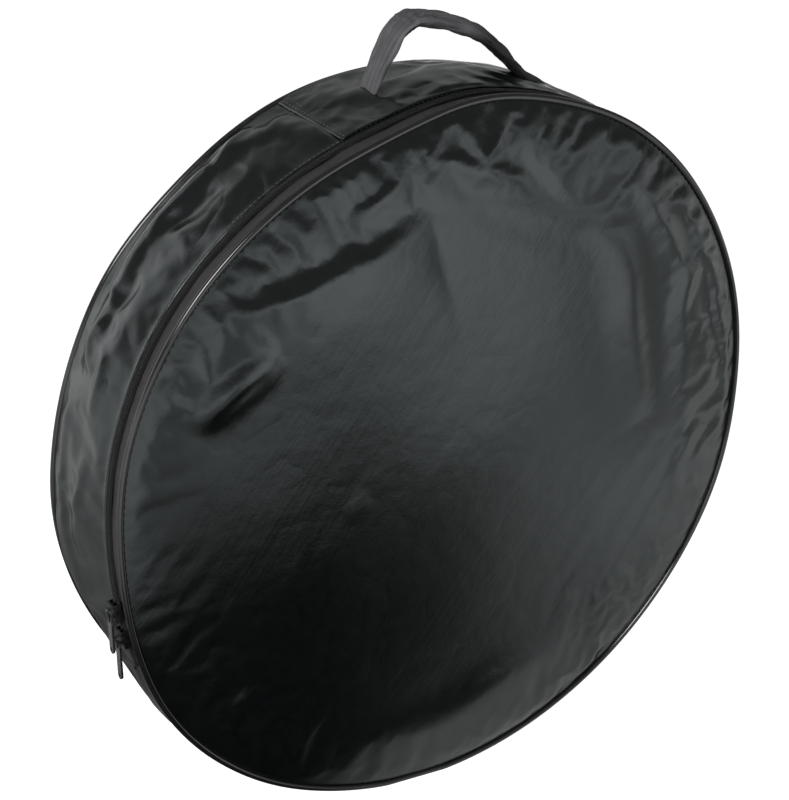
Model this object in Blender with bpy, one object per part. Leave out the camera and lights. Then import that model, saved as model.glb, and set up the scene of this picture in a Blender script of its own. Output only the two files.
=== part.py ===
"""A round soft case for a frame drum, standing upright on its rim.

Metres, +Z up. The origin is on the floor, under the middle of the bag. The front panel
faces -Y and the handle is at the top. Places round the rim are angles about the bag's
centre, from the top towards +X.
"""

from math import ceil, cos, degrees, floor, pi, radians, sin

import bmesh
import bpy
from mathutils import Matrix, Vector

# Overall size
RIM_RADIUS = 0.235          # centre line of both pipings, an 18 inch drum with room to spare
RIM_SPACING = 0.094         # between the two pipings
PANEL_CROWN = 0.005         # how far the front and the back stand out of their seams
CROWN_SLOPE = 0.0462        # from the seam inwards to where a panel is flat
SHOULDER_share = 0.7        # how much of the crown is left halfway along that slope
PIPING_RADIUS = 0.0025
STANDING_FLAT = 0.002       # the pipings are pressed flat this much where the bag stands

# Layers
SKIN = 0.0008
FOAM = 0.004
LINING = 0.0006
GAP = 0.0003                # between pieces that are sewn or lie on each other
RING_STEP = 5               # degrees between the corners of every round piece
PIPING_SIDES = 8
SMOOTH_ANGLE = 35           # degrees: edges that turn less are shaded smooth

# Gusset and seams
GUSSET_SINK = 0.003         # the gusset lies this much below the top of the piping
BINDING_WIDTH = 0.0087
BINDING = 0.0012

# Zip
ZIP_SETBACK = 0.015         # from the front piping to the middle of the coil
ZIP_END = 117               # degrees from the top to each end of the tapes
GUSSET_JOIN = 118           # degrees from the top to the seam between the two side bands
TAPE = 0.0006
TAPE_WIDTH = 0.012
COIL_WIDTH = 0.0025
COIL_HEIGHT = 0.0022
COIL_SPACING = 0.001        # between the two halves of the coil, where the sliders' posts run
GUSSET_CLEARANCE = 0.005    # from the middle of the coil to the edge of the gusset
PADDING_CLEARANCE = 0.007   # from the middle of the coil to the edge of the padding
STOP_LENGTH = 0.0025
STOP_HEIGHT = 0.0012
STOP_WIDTH = 0.0064

# Sliders and pull tabs
SLIDER_UPPER = -106.2       # degrees
SLIDER_LOWER = -111.0
SLIDER_LENGTH = 0.012
SLIDER_WIDTH = 0.0086
SLIDER_PLATE = 0.0013
SLIDER_POST = 0.0004
SLIDER_CLEARANCE = 0.0006
FLANGE = 0.0008
ARCH_LENGTH = 0.007
ARCH_WIDTH = 0.0022
ARCH_WALL = 0.0007
ARCH_ROOM = 0.0022          # the height inside the arch that holds the tab
PULL_LENGTH = 0.0275
PULL_WIDTH = 0.005
PULL = 0.0014
PULL_RAIL = 0.0009
PULL_WINDOW = 0.0048
PULL_HOLE = 0.0013          # radius of the hole in the tab's free end
PULL_HOLE_INSET = 0.0032
PULL_HANG = 172.5           # degrees, the way the tabs hang
PULL_END_STEPS = 6          # sides of the tab's round end
PULL_HOLE_SIDES = 10

# Lid
LID_LINE = 104              # degrees from the top to each end of the line that it folds on

# Handle
HANDLE_Y = 0.008
STRAP_WIDTH = 0.024
STRAP = 0.0036
FOOT_ANGLE = 16             # degrees from the top to each foot
HANDLE_RISE = 0.0432
PATCH_ANGLE = 26            # degrees from the top to each end of the patch
# The strap's middle line: how far along from foot to foot, and how high above the feet.
# It leans to the left, as a strap does that was last held there.
HANDLE_shares = (
    (-1.08, -0.25), (-1.0, 0.02), (-0.925, 0.32), (-0.853, 0.565), (-0.762, 0.81),
    (-0.635, 0.975), (-0.5, 1.0), (-0.381, 0.985), (-0.225, 0.945), (0.0, 0.864),
    (0.218, 0.728), (0.4, 0.555), (0.58, 0.355), (0.726, 0.2), (0.889, 0.09), (1.04, -0.06),
)
STRAP_STEPS = 3             # steps between two of those points
STRAP_SPLIT_shares = (-0.853, 0.4)
STRAP_PIVOT_share = 0.56

OVERRUN = 0.01              # how far a cutter reaches past what it cuts

# Worked out from the sizes above
CENTRE_HEIGHT = RIM_RADIUS + PIPING_RADIUS - STANDING_FLAT
RIM_HALF = RIM_SPACING / 2
FRONT_RIM = -RIM_HALF
ZIP_Y = FRONT_RIM + ZIP_SETBACK
PANEL_EDGE = RIM_RADIUS - PIPING_RADIUS - GAP
PLATEAU_RADIUS = PANEL_EDGE - CROWN_SLOPE
SHOULDER_RADIUS = PANEL_EDGE - CROWN_SLOPE / 2
SIDE_EDGE = RIM_HALF - PIPING_RADIUS - GAP
GUSSET_OUT = RIM_RADIUS + PIPING_RADIUS - GUSSET_SINK
TAPE_OUT = GUSSET_OUT - SKIN - GAP
COIL_IN = TAPE_OUT + GAP
COIL_OUT = COIL_IN + COIL_HEIGHT
PADDING_OUT = TAPE_OUT - TAPE - GAP
PATCH_OUT = GUSSET_OUT + GAP + SKIN
FOAM_EDGE = PANEL_EDGE - BINDING_WIDTH - GAP - BINDING
ARCH_BASE = COIL_OUT + SLIDER_CLEARANCE + SLIDER_PLATE
PULL_PIVOT = ARCH_BASE + ARCH_ROOM / 2
LID_FACE = FRONT_RIM - SKIN / 2 - PANEL_CROWN
LID_PIVOT = Vector((0, LID_FACE - GAP, RIM_RADIUS * cos(radians(LID_LINE))))
FOOT_X = PATCH_OUT * sin(radians(FOOT_ANGLE))
FOOT_Z = PATCH_OUT * cos(radians(FOOT_ANGLE))
HANDLE_PIVOT = Vector((0, HANDLE_Y, FOOT_Z + HANDLE_RISE * STRAP_PIVOT_share))

# Colours, roughness and metallic value of each material
BLACK_NYLON = ("black_nylon", (0.012, 0.013, 0.014), 0.4, 0)
PIPING_VINYL = ("piping_vinyl", (0.02, 0.02, 0.021), 0.3, 0)
ZIP_TAPE = ("zip_tape", (0.06, 0.06, 0.063), 0.85, 0)
ZIP_COIL = ("zip_coil", (0.012, 0.012, 0.012), 0.45, 0)
ZIP_METAL = ("zip_metal", (0.03, 0.03, 0.032), 0.35, 1)
HANDLE_NYLON = ("handle_nylon", (0.035, 0.034, 0.037), 0.7, 0)
PADDING_FOAM = ("padding_foam", (0.12, 0.12, 0.12), 0.9, 0)
LINING_CLOTH = ("lining_cloth", (0.02, 0.02, 0.022), 0.75, 0)
BINDING_CLOTH = ("binding_cloth", (0.03, 0.03, 0.032), 0.8, 0)


def clear_scene():
    for old in list(bpy.data.objects):
        bpy.data.objects.remove(old, do_unlink=True)


def material(finish):
    """The material of one finish, made once."""
    name, colour, roughness, metallic = finish
    if name in bpy.data.materials:
        return bpy.data.materials[name]
    made = bpy.data.materials.new(name)
    made.use_nodes = True
    shader = made.node_tree.nodes["Principled BSDF"]
    shader.inputs["Base Color"].default_value = (*colour, 1)
    shader.inputs["Roughness"].default_value = roughness
    shader.inputs["Metallic"].default_value = metallic
    return made


def empty(name, place, parent=None):
    """An empty on a joint's axis, placed from its parent."""
    marker = bpy.data.objects.new(name, None)
    marker.location = place
    marker.parent = parent
    bpy.context.collection.objects.link(marker)
    return marker


def add(name, shape, finish, parent, pivot=None):
    """Turn a bmesh drawn about the bag's centre into an object on its parent."""
    bmesh.ops.recalc_face_normals(shape, faces=shape.faces)
    mesh = bpy.data.meshes.new(name)
    shape.to_mesh(mesh)
    shape.free()
    if pivot is not None:
        mesh.transform(Matrix.Translation(-Vector(pivot)))
    mesh.materials.append(material(finish))
    mesh.shade_smooth()
    mesh.set_sharp_from_angle(angle=radians(SMOOTH_ANGLE))
    piece = bpy.data.objects.new(name, mesh)
    piece.parent = parent
    bpy.context.collection.objects.link(piece)
    return piece


def polar(radius, angle):
    """X and Z of a point at an angle in degrees from the top towards +X."""
    return radius * sin(radians(angle)), radius * cos(radians(angle))


def ring_angles(start, end):
    """The two ends and every grid angle between them, so that all rings share corners."""
    first = floor(start / RING_STEP) + 1
    last = ceil(end / RING_STEP) - 1
    inner = [RING_STEP * count for count in range(first, last + 1)]
    if end - start >= 360:
        return [start] + inner
    return [start] + inner + [end]


def sweep(profile, start=0, end=360):
    """Carry a closed profile of (radius, y) points round the bag's centre."""
    shape = bmesh.new()
    rows = []
    for angle in ring_angles(start, end):
        row = []
        for radius, depth in profile:
            x, z = polar(radius, angle)
            row.append(shape.verts.new((x, depth, z)))
        rows.append(row)
    closed = end - start >= 360
    pairs = list(zip(rows, rows[1:] + rows[:1])) if closed else list(zip(rows, rows[1:]))
    count = len(profile)
    for row, other in pairs:
        for index in range(count):
            after = (index + 1) % count
            shape.faces.new((row[index], row[after], other[after], other[index]))
    if not closed:
        shape.faces.new(rows[0])
        shape.faces.new(rows[-1])
    return shape


def half_gap_angle(radius):
    """The angle that takes half the gap between two pieces end to end."""
    return degrees(GAP / 2 / radius)


def arc(start, end, radius):
    """Pull both ends of an arc in by half the gap."""
    trim = half_gap_angle(radius)
    return start + trim, end - trim


def band(inner, outer, front, back):
    """A rectangular profile between two radii and two depths."""
    return [(inner, front), (outer, front), (outer, back), (inner, back)]


def keep_side(shape, place, normal):
    """Cut along a plane, drop the side that the normal points to and close the cut."""
    everything = shape.verts[:] + shape.edges[:] + shape.faces[:]
    bmesh.ops.bisect_plane(
        shape, geom=everything, plane_co=place, plane_no=normal, clear_outer=True)
    rim = [edge for edge in shape.edges if edge.is_boundary]
    bmesh.ops.holes_fill(shape, edges=rim, sides=0)
    return shape


def crown(radius):
    """How far a panel stands out of its seam at a radius: flat, then two slopes."""
    if radius <= PLATEAU_RADIUS:
        return PANEL_CROWN
    shoulder_crown = PANEL_CROWN * SHOULDER_share
    if radius <= SHOULDER_RADIUS:
        share = (radius - PLATEAU_RADIUS) / (SHOULDER_RADIUS - PLATEAU_RADIUS)
        return PANEL_CROWN + (shoulder_crown - PANEL_CROWN) * share
    return shoulder_crown * (PANEL_EDGE - radius) / (PANEL_EDGE - SHOULDER_RADIUS)


def disc(edge, offset, thickness, side):
    """One layer of a panel: offset is from its outer face at the seam, side is -1 at the front."""
    profile = []
    for radius in (PLATEAU_RADIUS, SHOULDER_RADIUS, edge):
        profile.append((radius, side * (RIM_HALF + SKIN / 2 + crown(radius) - offset)))
    for radius in (edge, SHOULDER_RADIUS, PLATEAU_RADIUS):
        outer = RIM_HALF + SKIN / 2 + crown(radius) - offset
        profile.append((radius, side * (outer - thickness)))
    shape = bmesh.new()
    rings = []
    for radius, depth in profile:
        ring = []
        for angle in ring_angles(0, 360):
            x, z = polar(radius, angle)
            ring.append(shape.verts.new((x, depth, z)))
        rings.append(ring)
    for ring, other in zip(rings, rings[1:]):
        for index, corner in enumerate(ring):
            after = (index + 1) % len(ring)
            shape.faces.new((corner, ring[after], other[after], other[index]))
    shape.faces.new(rings[0])
    shape.faces.new(rings[-1])
    return shape


def box(low, high):
    """A box between two corners."""
    shape = bmesh.new()
    corners = []
    for x in (low[0], high[0]):
        for y in (low[1], high[1]):
            for z in (low[2], high[2]):
                corners.append(shape.verts.new((x, y, z)))
    for face in ((0, 1, 3, 2), (4, 6, 7, 5), (0, 4, 5, 1), (2, 3, 7, 6), (0, 2, 6, 4), (1, 5, 7, 3)):
        shape.faces.new([corners[index] for index in face])
    return shape


def prism(outline, low, high):
    """Extrude an outline of (x, z) points along Y."""
    shape = bmesh.new()
    near = [shape.verts.new((x, low, z)) for x, z in outline]
    far = [shape.verts.new((x, high, z)) for x, z in outline]
    for index in range(len(outline)):
        after = (index + 1) % len(outline)
        shape.faces.new((near[index], near[after], far[after], far[index]))
    shape.faces.new(near)
    shape.faces.new(far)
    return shape


def combine(piece, other, operation):
    """Join another object to a piece, or cut it out of the piece; the other one isn't kept."""
    modifier = piece.modifiers.new(operation.lower(), "BOOLEAN")
    modifier.operation = operation
    modifier.solver = "EXACT"
    modifier.object = other
    other.hide_render = True
    other.display_type = "WIRE"


# Panels


def panel_layers(side, names, parent_of, cut):
    """The skin, foam and lining of the front or the back, whole or cut at the lid's line."""
    layers = (
        (names[0], PANEL_EDGE, 0, SKIN, BLACK_NYLON),
        (names[1], FOAM_EDGE, SKIN + GAP, FOAM, PADDING_FOAM),
        (names[2], FOAM_EDGE, SKIN + GAP + FOAM + GAP, LINING, LINING_CLOTH),
    )
    for name, edge, offset, thickness, finish in layers:
        if not cut:
            add(name, disc(edge, offset, thickness, side), finish, parent_of["bag"])
            continue
        line = LID_PIVOT.z
        upper = keep_side(disc(edge, offset, thickness, side), (0, 0, line + GAP / 2), (0, 0, -1))
        add(name + "_lid", upper, finish, parent_of["lid"], LID_PIVOT)
        lower = keep_side(disc(edge, offset, thickness, side), (0, 0, line - GAP / 2), (0, 0, 1))
        add(name + "_base", lower, finish, parent_of["bag"])


def panels(parent_of):
    panel_layers(-1, ("front_panel", "front_foam", "front_lining"), parent_of, True)
    panel_layers(1, ("back_panel", "back_foam", "back_lining"), parent_of, False)


# Rims


def piping_profile(depth):
    """The piping's round section."""
    points = []
    for count in range(PIPING_SIDES):
        turn = 2 * pi * count / PIPING_SIDES
        points.append((RIM_RADIUS + PIPING_RADIUS * cos(turn), depth + PIPING_RADIUS * sin(turn)))
    return points


def pipings(parent_of):
    """Both pipings, pressed flat where the bag stands on them."""
    foot = (0, 0, -CENTRE_HEIGHT)
    lid = sweep(piping_profile(FRONT_RIM), *arc(-LID_LINE, LID_LINE, RIM_RADIUS))
    add("front_piping_lid", lid, PIPING_VINYL, parent_of["lid"], LID_PIVOT)
    base = sweep(piping_profile(FRONT_RIM), *arc(LID_LINE, 360 - LID_LINE, RIM_RADIUS))
    add("front_piping_base", keep_side(base, foot, (0, 0, -1)), PIPING_VINYL, parent_of["bag"])
    rear = sweep(piping_profile(RIM_HALF))
    add("rear_piping", keep_side(rear, foot, (0, 0, -1)), PIPING_VINYL, parent_of["bag"])


def bindings(parent_of):
    """The tape folded over the raw edges inside both seams."""
    near = RIM_HALF - SKIN / 2 - GAP
    front = band(PANEL_EDGE - BINDING_WIDTH, PANEL_EDGE, -near, -near + BINDING)
    lid = sweep(front, *arc(-LID_LINE, LID_LINE, RIM_RADIUS))
    add("front_binding_lid", lid, BINDING_CLOTH, parent_of["lid"], LID_PIVOT)
    base = sweep(front, *arc(LID_LINE, 360 - LID_LINE, RIM_RADIUS))
    add("front_binding_base", base, BINDING_CLOTH, parent_of["bag"])
    rear = band(PANEL_EDGE - BINDING_WIDTH, PANEL_EDGE, near - BINDING, near)
    add("rear_binding", sweep(rear), BINDING_CLOTH, parent_of["bag"])


# Gusset


def gusset(parent_of):
    """The side bands: above, from the zip to the rear seam; below, from seam to seam."""
    bag = parent_of["bag"]
    upper = arc(-GUSSET_JOIN, GUSSET_JOIN, GUSSET_OUT)
    lower = arc(GUSSET_JOIN, 360 - GUSSET_JOIN, GUSSET_OUT)
    inside = GUSSET_OUT - SKIN
    skin = band(inside, GUSSET_OUT, ZIP_Y + GUSSET_CLEARANCE, SIDE_EDGE)
    add("gusset_upper", sweep(skin, *upper), BLACK_NYLON, bag)
    skin = band(inside, GUSSET_OUT, -SIDE_EDGE, SIDE_EDGE)
    add("gusset_bottom", sweep(skin, *lower), BLACK_NYLON, bag)
    padding(bag, "upper", PADDING_OUT, ZIP_Y + PADDING_CLEARANCE, upper)
    padding(bag, "bottom", inside - GAP, -SIDE_EDGE + BINDING, lower)


def padding(bag, where, outer, front, ends):
    """The foam and the lining behind one side band."""
    back = SIDE_EDGE - BINDING
    foam = band(outer - FOAM, outer, front, back)
    add("gusset_foam_" + where, sweep(foam, *ends), PADDING_FOAM, bag)
    cloth = outer - FOAM - GAP
    lining = band(cloth - LINING, cloth, front, back)
    add("gusset_lining_" + where, sweep(lining, *ends), LINING_CLOTH, bag)


# Zip


def zip_strip(name, profile, finish, parent_of):
    """One strip of the front half of the zip: the lid's stretch and an end on each side."""
    radius = profile[1][0]
    lid = sweep(profile, *arc(-LID_LINE, LID_LINE, radius))
    add(name + "_lid", lid, finish, parent_of["lid"], LID_PIVOT)
    left = sweep(profile, *arc(-ZIP_END, -LID_LINE, radius))
    add(name + "_left", left, finish, parent_of["bag"])
    right = sweep(profile, *arc(LID_LINE, ZIP_END, radius))
    add(name + "_right", right, finish, parent_of["bag"])


def zip_halves(parent_of):
    bag = parent_of["bag"]
    coil_near = COIL_SPACING / 2
    tape_near = coil_near + COIL_SPACING / 2
    front_tape = band(TAPE_OUT - TAPE, TAPE_OUT, FRONT_RIM + PIPING_RADIUS + GAP, ZIP_Y - tape_near)
    zip_strip("front_tape", front_tape, ZIP_TAPE, parent_of)
    front_coil = band(COIL_IN, COIL_OUT, ZIP_Y - coil_near - COIL_WIDTH, ZIP_Y - coil_near)
    zip_strip("front_coil", front_coil, ZIP_COIL, parent_of)
    ends = arc(-ZIP_END, ZIP_END, TAPE_OUT)
    rear_tape = band(TAPE_OUT - TAPE, TAPE_OUT, ZIP_Y + tape_near, ZIP_Y + tape_near + TAPE_WIDTH)
    add("rear_tape", sweep(rear_tape, *ends), ZIP_TAPE, bag)
    rear_coil = band(COIL_IN, COIL_OUT, ZIP_Y + coil_near, ZIP_Y + coil_near + COIL_WIDTH)
    add("rear_coil", sweep(rear_coil, *ends), ZIP_COIL, bag)
    for name, side in (("zip_stop_left", -1), ("zip_stop_right", 1)):
        stop_place = radians(ZIP_END) - STOP_LENGTH / COIL_OUT
        stop = box(
            (-STOP_LENGTH / 2, ZIP_Y - STOP_WIDTH / 2, COIL_OUT + GAP),
            (STOP_LENGTH / 2, ZIP_Y + STOP_WIDTH / 2, COIL_OUT + GAP + STOP_HEIGHT))
        stop.transform(Matrix.Rotation(side * stop_place, 4, "Y"))
        add(name, stop, ZIP_METAL, bag)


def slider_body():
    """The two plates and the post between them, drawn at the top of the rim."""
    half = SLIDER_WIDTH / 2
    post = SLIDER_POST / 2
    plate_in = COIL_OUT + SLIDER_CLEARANCE
    base_out = TAPE_OUT - TAPE - SLIDER_CLEARANCE
    base_in = base_out - SLIDER_PLATE
    flange_in = TAPE_OUT + SLIDER_CLEARANCE
    outline = [
        (-half, base_in), (half, base_in), (half, base_out), (post, base_out),
        (post, plate_in), (half - FLANGE, plate_in), (half - FLANGE, flange_in),
        (half, flange_in), (half, ARCH_BASE), (-half, ARCH_BASE), (-half, flange_in),
        (FLANGE - half, flange_in), (FLANGE - half, plate_in), (-post, plate_in),
        (-post, base_out), (-half, base_out)]
    shape = prism(outline, -SLIDER_LENGTH / 2, SLIDER_LENGTH / 2)
    shape.transform(Matrix.Rotation(pi / 2, 4, "Z"))
    shape.transform(Matrix.Translation((0, ZIP_Y, 0)))
    return shape


def slider_arch():
    """The small bridge over the tab's cross bar, sunk a little into the top plate."""
    half = ARCH_LENGTH / 2
    sunk = ARCH_BASE - SLIDER_PLATE / 2
    inside = ARCH_BASE + ARCH_ROOM
    top = inside + ARCH_WALL
    outline = [
        (-half, sunk), (-half, top - ARCH_WALL), (ARCH_WALL - half, top), (half - ARCH_WALL, top),
        (half, top - ARCH_WALL), (half, sunk), (half - ARCH_WALL, sunk),
        (half - ARCH_WALL, inside), (ARCH_WALL - half, inside), (ARCH_WALL - half, sunk)]
    return prism(outline, ZIP_Y - ARCH_WIDTH / 2, ZIP_Y + ARCH_WIDTH / 2)


def pull_tab():
    """The flat tab, drawn downwards from its pivot, with a rounded free end."""
    half = PULL_WIDTH / 2
    outline = [(-half, PULL / 2), (-half, half - PULL_LENGTH)]
    for count in range(1, PULL_END_STEPS):
        turn = pi * count / PULL_END_STEPS
        outline.append((-half * cos(turn), half - PULL_LENGTH - half * sin(turn)))
    outline += [(half, half - PULL_LENGTH), (half, PULL / 2)]
    shape = prism(outline, -PULL / 2, PULL / 2)
    shape.transform(Matrix.Rotation(pi / 2, 4, "Z"))
    return shape


def pull_window():
    """The cutter for the window that the slider's bridge passes through."""
    half = PULL_WIDTH / 2 - PULL_RAIL
    return box((-OVERRUN, -half, -PULL / 2 - PULL_WINDOW), (OVERRUN, half, -PULL / 2))


def pull_hole():
    """The cutter for the round hole in the free end."""
    shape = bmesh.new()
    place = Matrix.Translation((0, 0, PULL_HOLE_INSET - PULL_LENGTH)) @ Matrix.Rotation(pi / 2, 4, "Y")
    bmesh.ops.create_cone(
        shape, cap_ends=True, segments=PULL_HOLE_SIDES, radius1=PULL_HOLE, radius2=PULL_HOLE,
        depth=2 * OVERRUN, matrix=place)
    return shape


def slider(which, angle, parent_of):
    """One slider with its tab. The slider turns about the bag's centre, the tab on its bridge."""
    carriage = empty("slider_" + which + "_axis", (0, 0, 0), parent_of["bag"])
    carriage.rotation_euler = (0, radians(angle), 0)
    body = add("slider_" + which, slider_body(), ZIP_METAL, carriage)
    arch = add("slider_" + which + "_arch_guide", slider_arch(), ZIP_METAL, carriage)
    combine(body, arch, "UNION")
    pivot = empty("pull_" + which + "_axis", (0, ZIP_Y, PULL_PIVOT), carriage)
    pivot.rotation_euler = (0, radians(PULL_HANG - 180 - angle), 0)
    tab = add("pull_" + which, pull_tab(), ZIP_METAL, pivot)
    window = add("pull_" + which + "_window_guide", pull_window(), ZIP_METAL, pivot)
    combine(tab, window, "DIFFERENCE")
    hole = add("pull_" + which + "_hole_guide", pull_hole(), ZIP_METAL, pivot)
    combine(tab, hole, "DIFFERENCE")


# Handle


def smooth_curve(points, steps):
    """A Catmull-Rom curve through points, without the first and the last."""
    curve = []
    for before, start, end, after in zip(points, points[1:], points[2:], points[3:]):
        for count in range(steps):
            share = count / steps
            curve.append(0.5 * (
                2 * start + (end - before) * share
                + (2 * before - 5 * start + 4 * end - after) * share ** 2
                + (3 * start - before - 3 * end + after) * share ** 3))
    curve.append(points[-2])
    return curve


def handle_line():
    """The strap's middle line, as X and Z from the bag's centre."""
    points = []
    for along, rise in HANDLE_shares:
        points.append(Vector((FOOT_X * along, FOOT_Z + HANDLE_RISE * rise)))
    first = 2 * points[0] - points[1]
    last = 2 * points[-1] - points[-2]
    return smooth_curve([first] + points + [last], STRAP_STEPS)


def strap():
    """The whole strap, a flat section carried along its middle line."""
    line = handle_line()
    shape = bmesh.new()
    rows = []
    for index, point in enumerate(line):
        ahead = line[min(index + 1, len(line) - 1)] - line[max(index - 1, 0)]
        across = Vector((-ahead.y, ahead.x)).normalized() * STRAP / 2
        row = []
        for side, depth in ((1, -1), (1, 1), (-1, 1), (-1, -1)):
            place = point + side * across
            row.append(shape.verts.new((place.x, HANDLE_Y + depth * STRAP_WIDTH / 2, place.y)))
        rows.append(row)
    for row, other in zip(rows, rows[1:]):
        for index in range(4):
            after = (index + 1) % 4
            shape.faces.new((row[index], row[after], other[after], other[index]))
    shape.faces.new(rows[0])
    shape.faces.new(rows[-1])
    return shape


def handle(parent_of):
    """The grip that falls over, its two sewn legs, and the patch that they stand on."""
    left, right = (FOOT_X * share for share in STRAP_SPLIT_shares)
    grip = keep_side(strap(), (left + GAP / 2, 0, 0), (-1, 0, 0))
    grip = keep_side(grip, (right - GAP / 2, 0, 0), (1, 0, 0))
    add("handle_strap", grip, HANDLE_NYLON, parent_of["handle"], HANDLE_PIVOT)
    legs = (
        ("handle_leg_left", keep_side(strap(), (left - GAP / 2, 0, 0), (1, 0, 0))),
        ("handle_leg_right", keep_side(strap(), (right + GAP / 2, 0, 0), (-1, 0, 0))),
    )
    for name, shape in legs:
        leg = add(name, shape, HANDLE_NYLON, parent_of["bag"])
        seat = prism([polar(PATCH_OUT + GAP, angle) for angle in ring_angles(0, 360)],
                     -RIM_HALF, RIM_HALF)
        combine(leg, add(name + "_seat_guide", seat, HANDLE_NYLON, parent_of["bag"]), "DIFFERENCE")
    patch = band(GUSSET_OUT + GAP, PATCH_OUT, ZIP_Y + GUSSET_CLEARANCE, SIDE_EDGE)
    add("handle_patch", sweep(patch, -PATCH_ANGLE, PATCH_ANGLE), BLACK_NYLON, parent_of["bag"])


def main():
    clear_scene()
    bag = empty("bag_centre", (0, 0, CENTRE_HEIGHT))
    parent_of = {
        "bag": bag,
        "lid": empty("lid_axis", LID_PIVOT, bag),
        "handle": empty("handle_axis", HANDLE_PIVOT, bag),
    }
    panels(parent_of)
    pipings(parent_of)
    bindings(parent_of)
    gusset(parent_of)
    zip_halves(parent_of)
    slider("upper", SLIDER_UPPER, parent_of)
    slider("lower", SLIDER_LOWER, parent_of)
    handle(parent_of)


main()
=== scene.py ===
"""The looks of the bodhran bag: coated nylon, piping, zip, handle and lining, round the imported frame.

Metres, +Z up. Places round the rim are angles in degrees from the top towards +X, as in the
part, and places on a panel are such an angle with a share of the rim's radius.
"""

from math import cos, pi, radians, sin, sqrt

import bpy
import numpy as np
from mathutils import Matrix, Vector, geometry

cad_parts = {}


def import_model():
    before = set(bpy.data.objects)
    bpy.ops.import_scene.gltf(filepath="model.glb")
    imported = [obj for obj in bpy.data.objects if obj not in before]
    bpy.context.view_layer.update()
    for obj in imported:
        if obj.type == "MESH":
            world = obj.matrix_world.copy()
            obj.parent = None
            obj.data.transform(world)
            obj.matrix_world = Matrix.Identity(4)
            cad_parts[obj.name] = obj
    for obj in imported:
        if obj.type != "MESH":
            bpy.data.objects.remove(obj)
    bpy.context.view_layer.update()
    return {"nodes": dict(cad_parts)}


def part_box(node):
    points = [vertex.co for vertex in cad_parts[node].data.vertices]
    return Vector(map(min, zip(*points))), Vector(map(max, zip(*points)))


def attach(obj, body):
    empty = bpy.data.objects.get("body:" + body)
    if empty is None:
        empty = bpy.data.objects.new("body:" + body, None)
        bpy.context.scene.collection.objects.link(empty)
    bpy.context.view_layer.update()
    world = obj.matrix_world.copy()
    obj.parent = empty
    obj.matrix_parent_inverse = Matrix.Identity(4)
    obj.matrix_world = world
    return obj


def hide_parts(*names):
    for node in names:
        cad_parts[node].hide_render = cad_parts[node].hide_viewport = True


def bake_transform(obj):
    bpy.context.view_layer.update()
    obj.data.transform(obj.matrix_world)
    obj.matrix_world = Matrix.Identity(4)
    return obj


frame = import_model()

# Sizes read from the frame
rear_low, rear_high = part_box("rear_piping")
front_low, front_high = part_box("front_piping_lid")
PIPING_RADIUS = (rear_high[1] - rear_low[1]) / 2
RIM = (rear_high[0] - rear_low[0]) / 2 - PIPING_RADIUS
CENTRE = rear_high[2] - PIPING_RADIUS - RIM
FRONT = (front_low[1] + front_high[1]) / 2
REAR = (rear_low[1] + rear_high[1]) / 2
FLOOR = rear_low[2]
GUSSET_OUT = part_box("gusset_upper")[1][0]
GUSSET_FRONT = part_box("gusset_upper")[0][1]
PATCH_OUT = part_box("handle_patch")[1][2] - CENTRE
ZIP_Y = (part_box("front_coil_lid")[1][1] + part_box("rear_coil")[0][1]) / 2
COIL_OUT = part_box("rear_coil")[1][0]
TAPE_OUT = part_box("rear_tape")[1][0]
TAPE_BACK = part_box("rear_tape")[1][1]
FOAM_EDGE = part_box("back_foam")[1][0]
binding_low, binding_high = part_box("rear_binding")
BINDING_REAR = (binding_low[1] + binding_high[1]) / 2
BINDING_FRONT = FRONT + REAR - BINDING_REAR
BINDING_THICK = binding_high[1] - binding_low[1]

# Sizes of the part that no box tells
SKIN = 0.0008
LINING_THICK = 0.0006
LINING_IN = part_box("gusset_lining_upper")[1][0] - LINING_THICK
LOW_LINING_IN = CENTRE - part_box("gusset_lining_bottom")[0][2] - LINING_THICK
BINDING_WIDTH = 0.0087
BINDING_MIDDLE = binding_high[0] - BINDING_WIDTH / 2
ZIP_END = 117
GUSSET_JOIN = 118
PATCH_END = 26

# The photograph's camera
CAMERA_PLACE = Vector((-0.6252, -0.8213, 0.4433 + CENTRE))
CAMERA_AIM = Vector((-0.0229, 0, 0.028 + CENTRE))
CAMERA_ROLL = radians(7.3)
CAMERA_LENS = 78.77

# Where the seams stray from a true circle, as angle and share of the rim's radius
FRONT_RIM_shares = (
    (-165, -0.002), (-150, 0.005), (-131, 0.008), (-120, 0.004), (-112, -0.005), (-100, -0.0105),
    (-92, -0.006), (-85, 0.003), (-75, 0.0065), (-61, 0.006), (-45, -0.007), (-33, -0.017),
    (-25, -0.0245), (-19, -0.022), (-14, -0.013), (-6, 0.006), (0, 0.003), (12, -0.001),
    (22, 0.004), (36, 0.002), (50, -0.004), (75, -0.005), (84, -0.006), (92, 0.001),
    (102, 0.0085), (112, 0.007), (130, 0.004), (150, 0.001), (165, -0.001),
)
REAR_RIM_shares = (
    (-165, -0.002), (-132, -0.012), (-120, -0.009), (-110, -0.004), (-99, 0.0015),
    (-87, -0.005), (-73, -0.005), (-62, 0.001), (-45, -0.011), (-33, -0.002), (-23, 0.002),
    (-9, -0.003), (5, -0.001), (16, 0.003), (60, 0), (120, 0.002), (165, -0.001),
)
CORD_RADIUS = 0.0020
CORD_SINK = 0.0012
SEAM_GAP = 0.001            # from a seam's middle to the edge of what is sewn into it
BAG, LID = "bag", "lid"
LID_FOLD = "lid fold"       # said of a piece that bends between the two


# Helpers: numbers

SOFTENING_TURNS = (-5, -2.5, 0, 2.5, 5)


def wander(table, angles):
    """A closed curve through (angle, share) pairs, read at angles in degrees and softened."""
    places, shares = np.array(table, float).T
    total = np.zeros_like(angles)
    for turn in SOFTENING_TURNS:
        total += np.interp(angles + turn, places, shares, period=360)
    return total / len(SOFTENING_TURNS)


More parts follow.
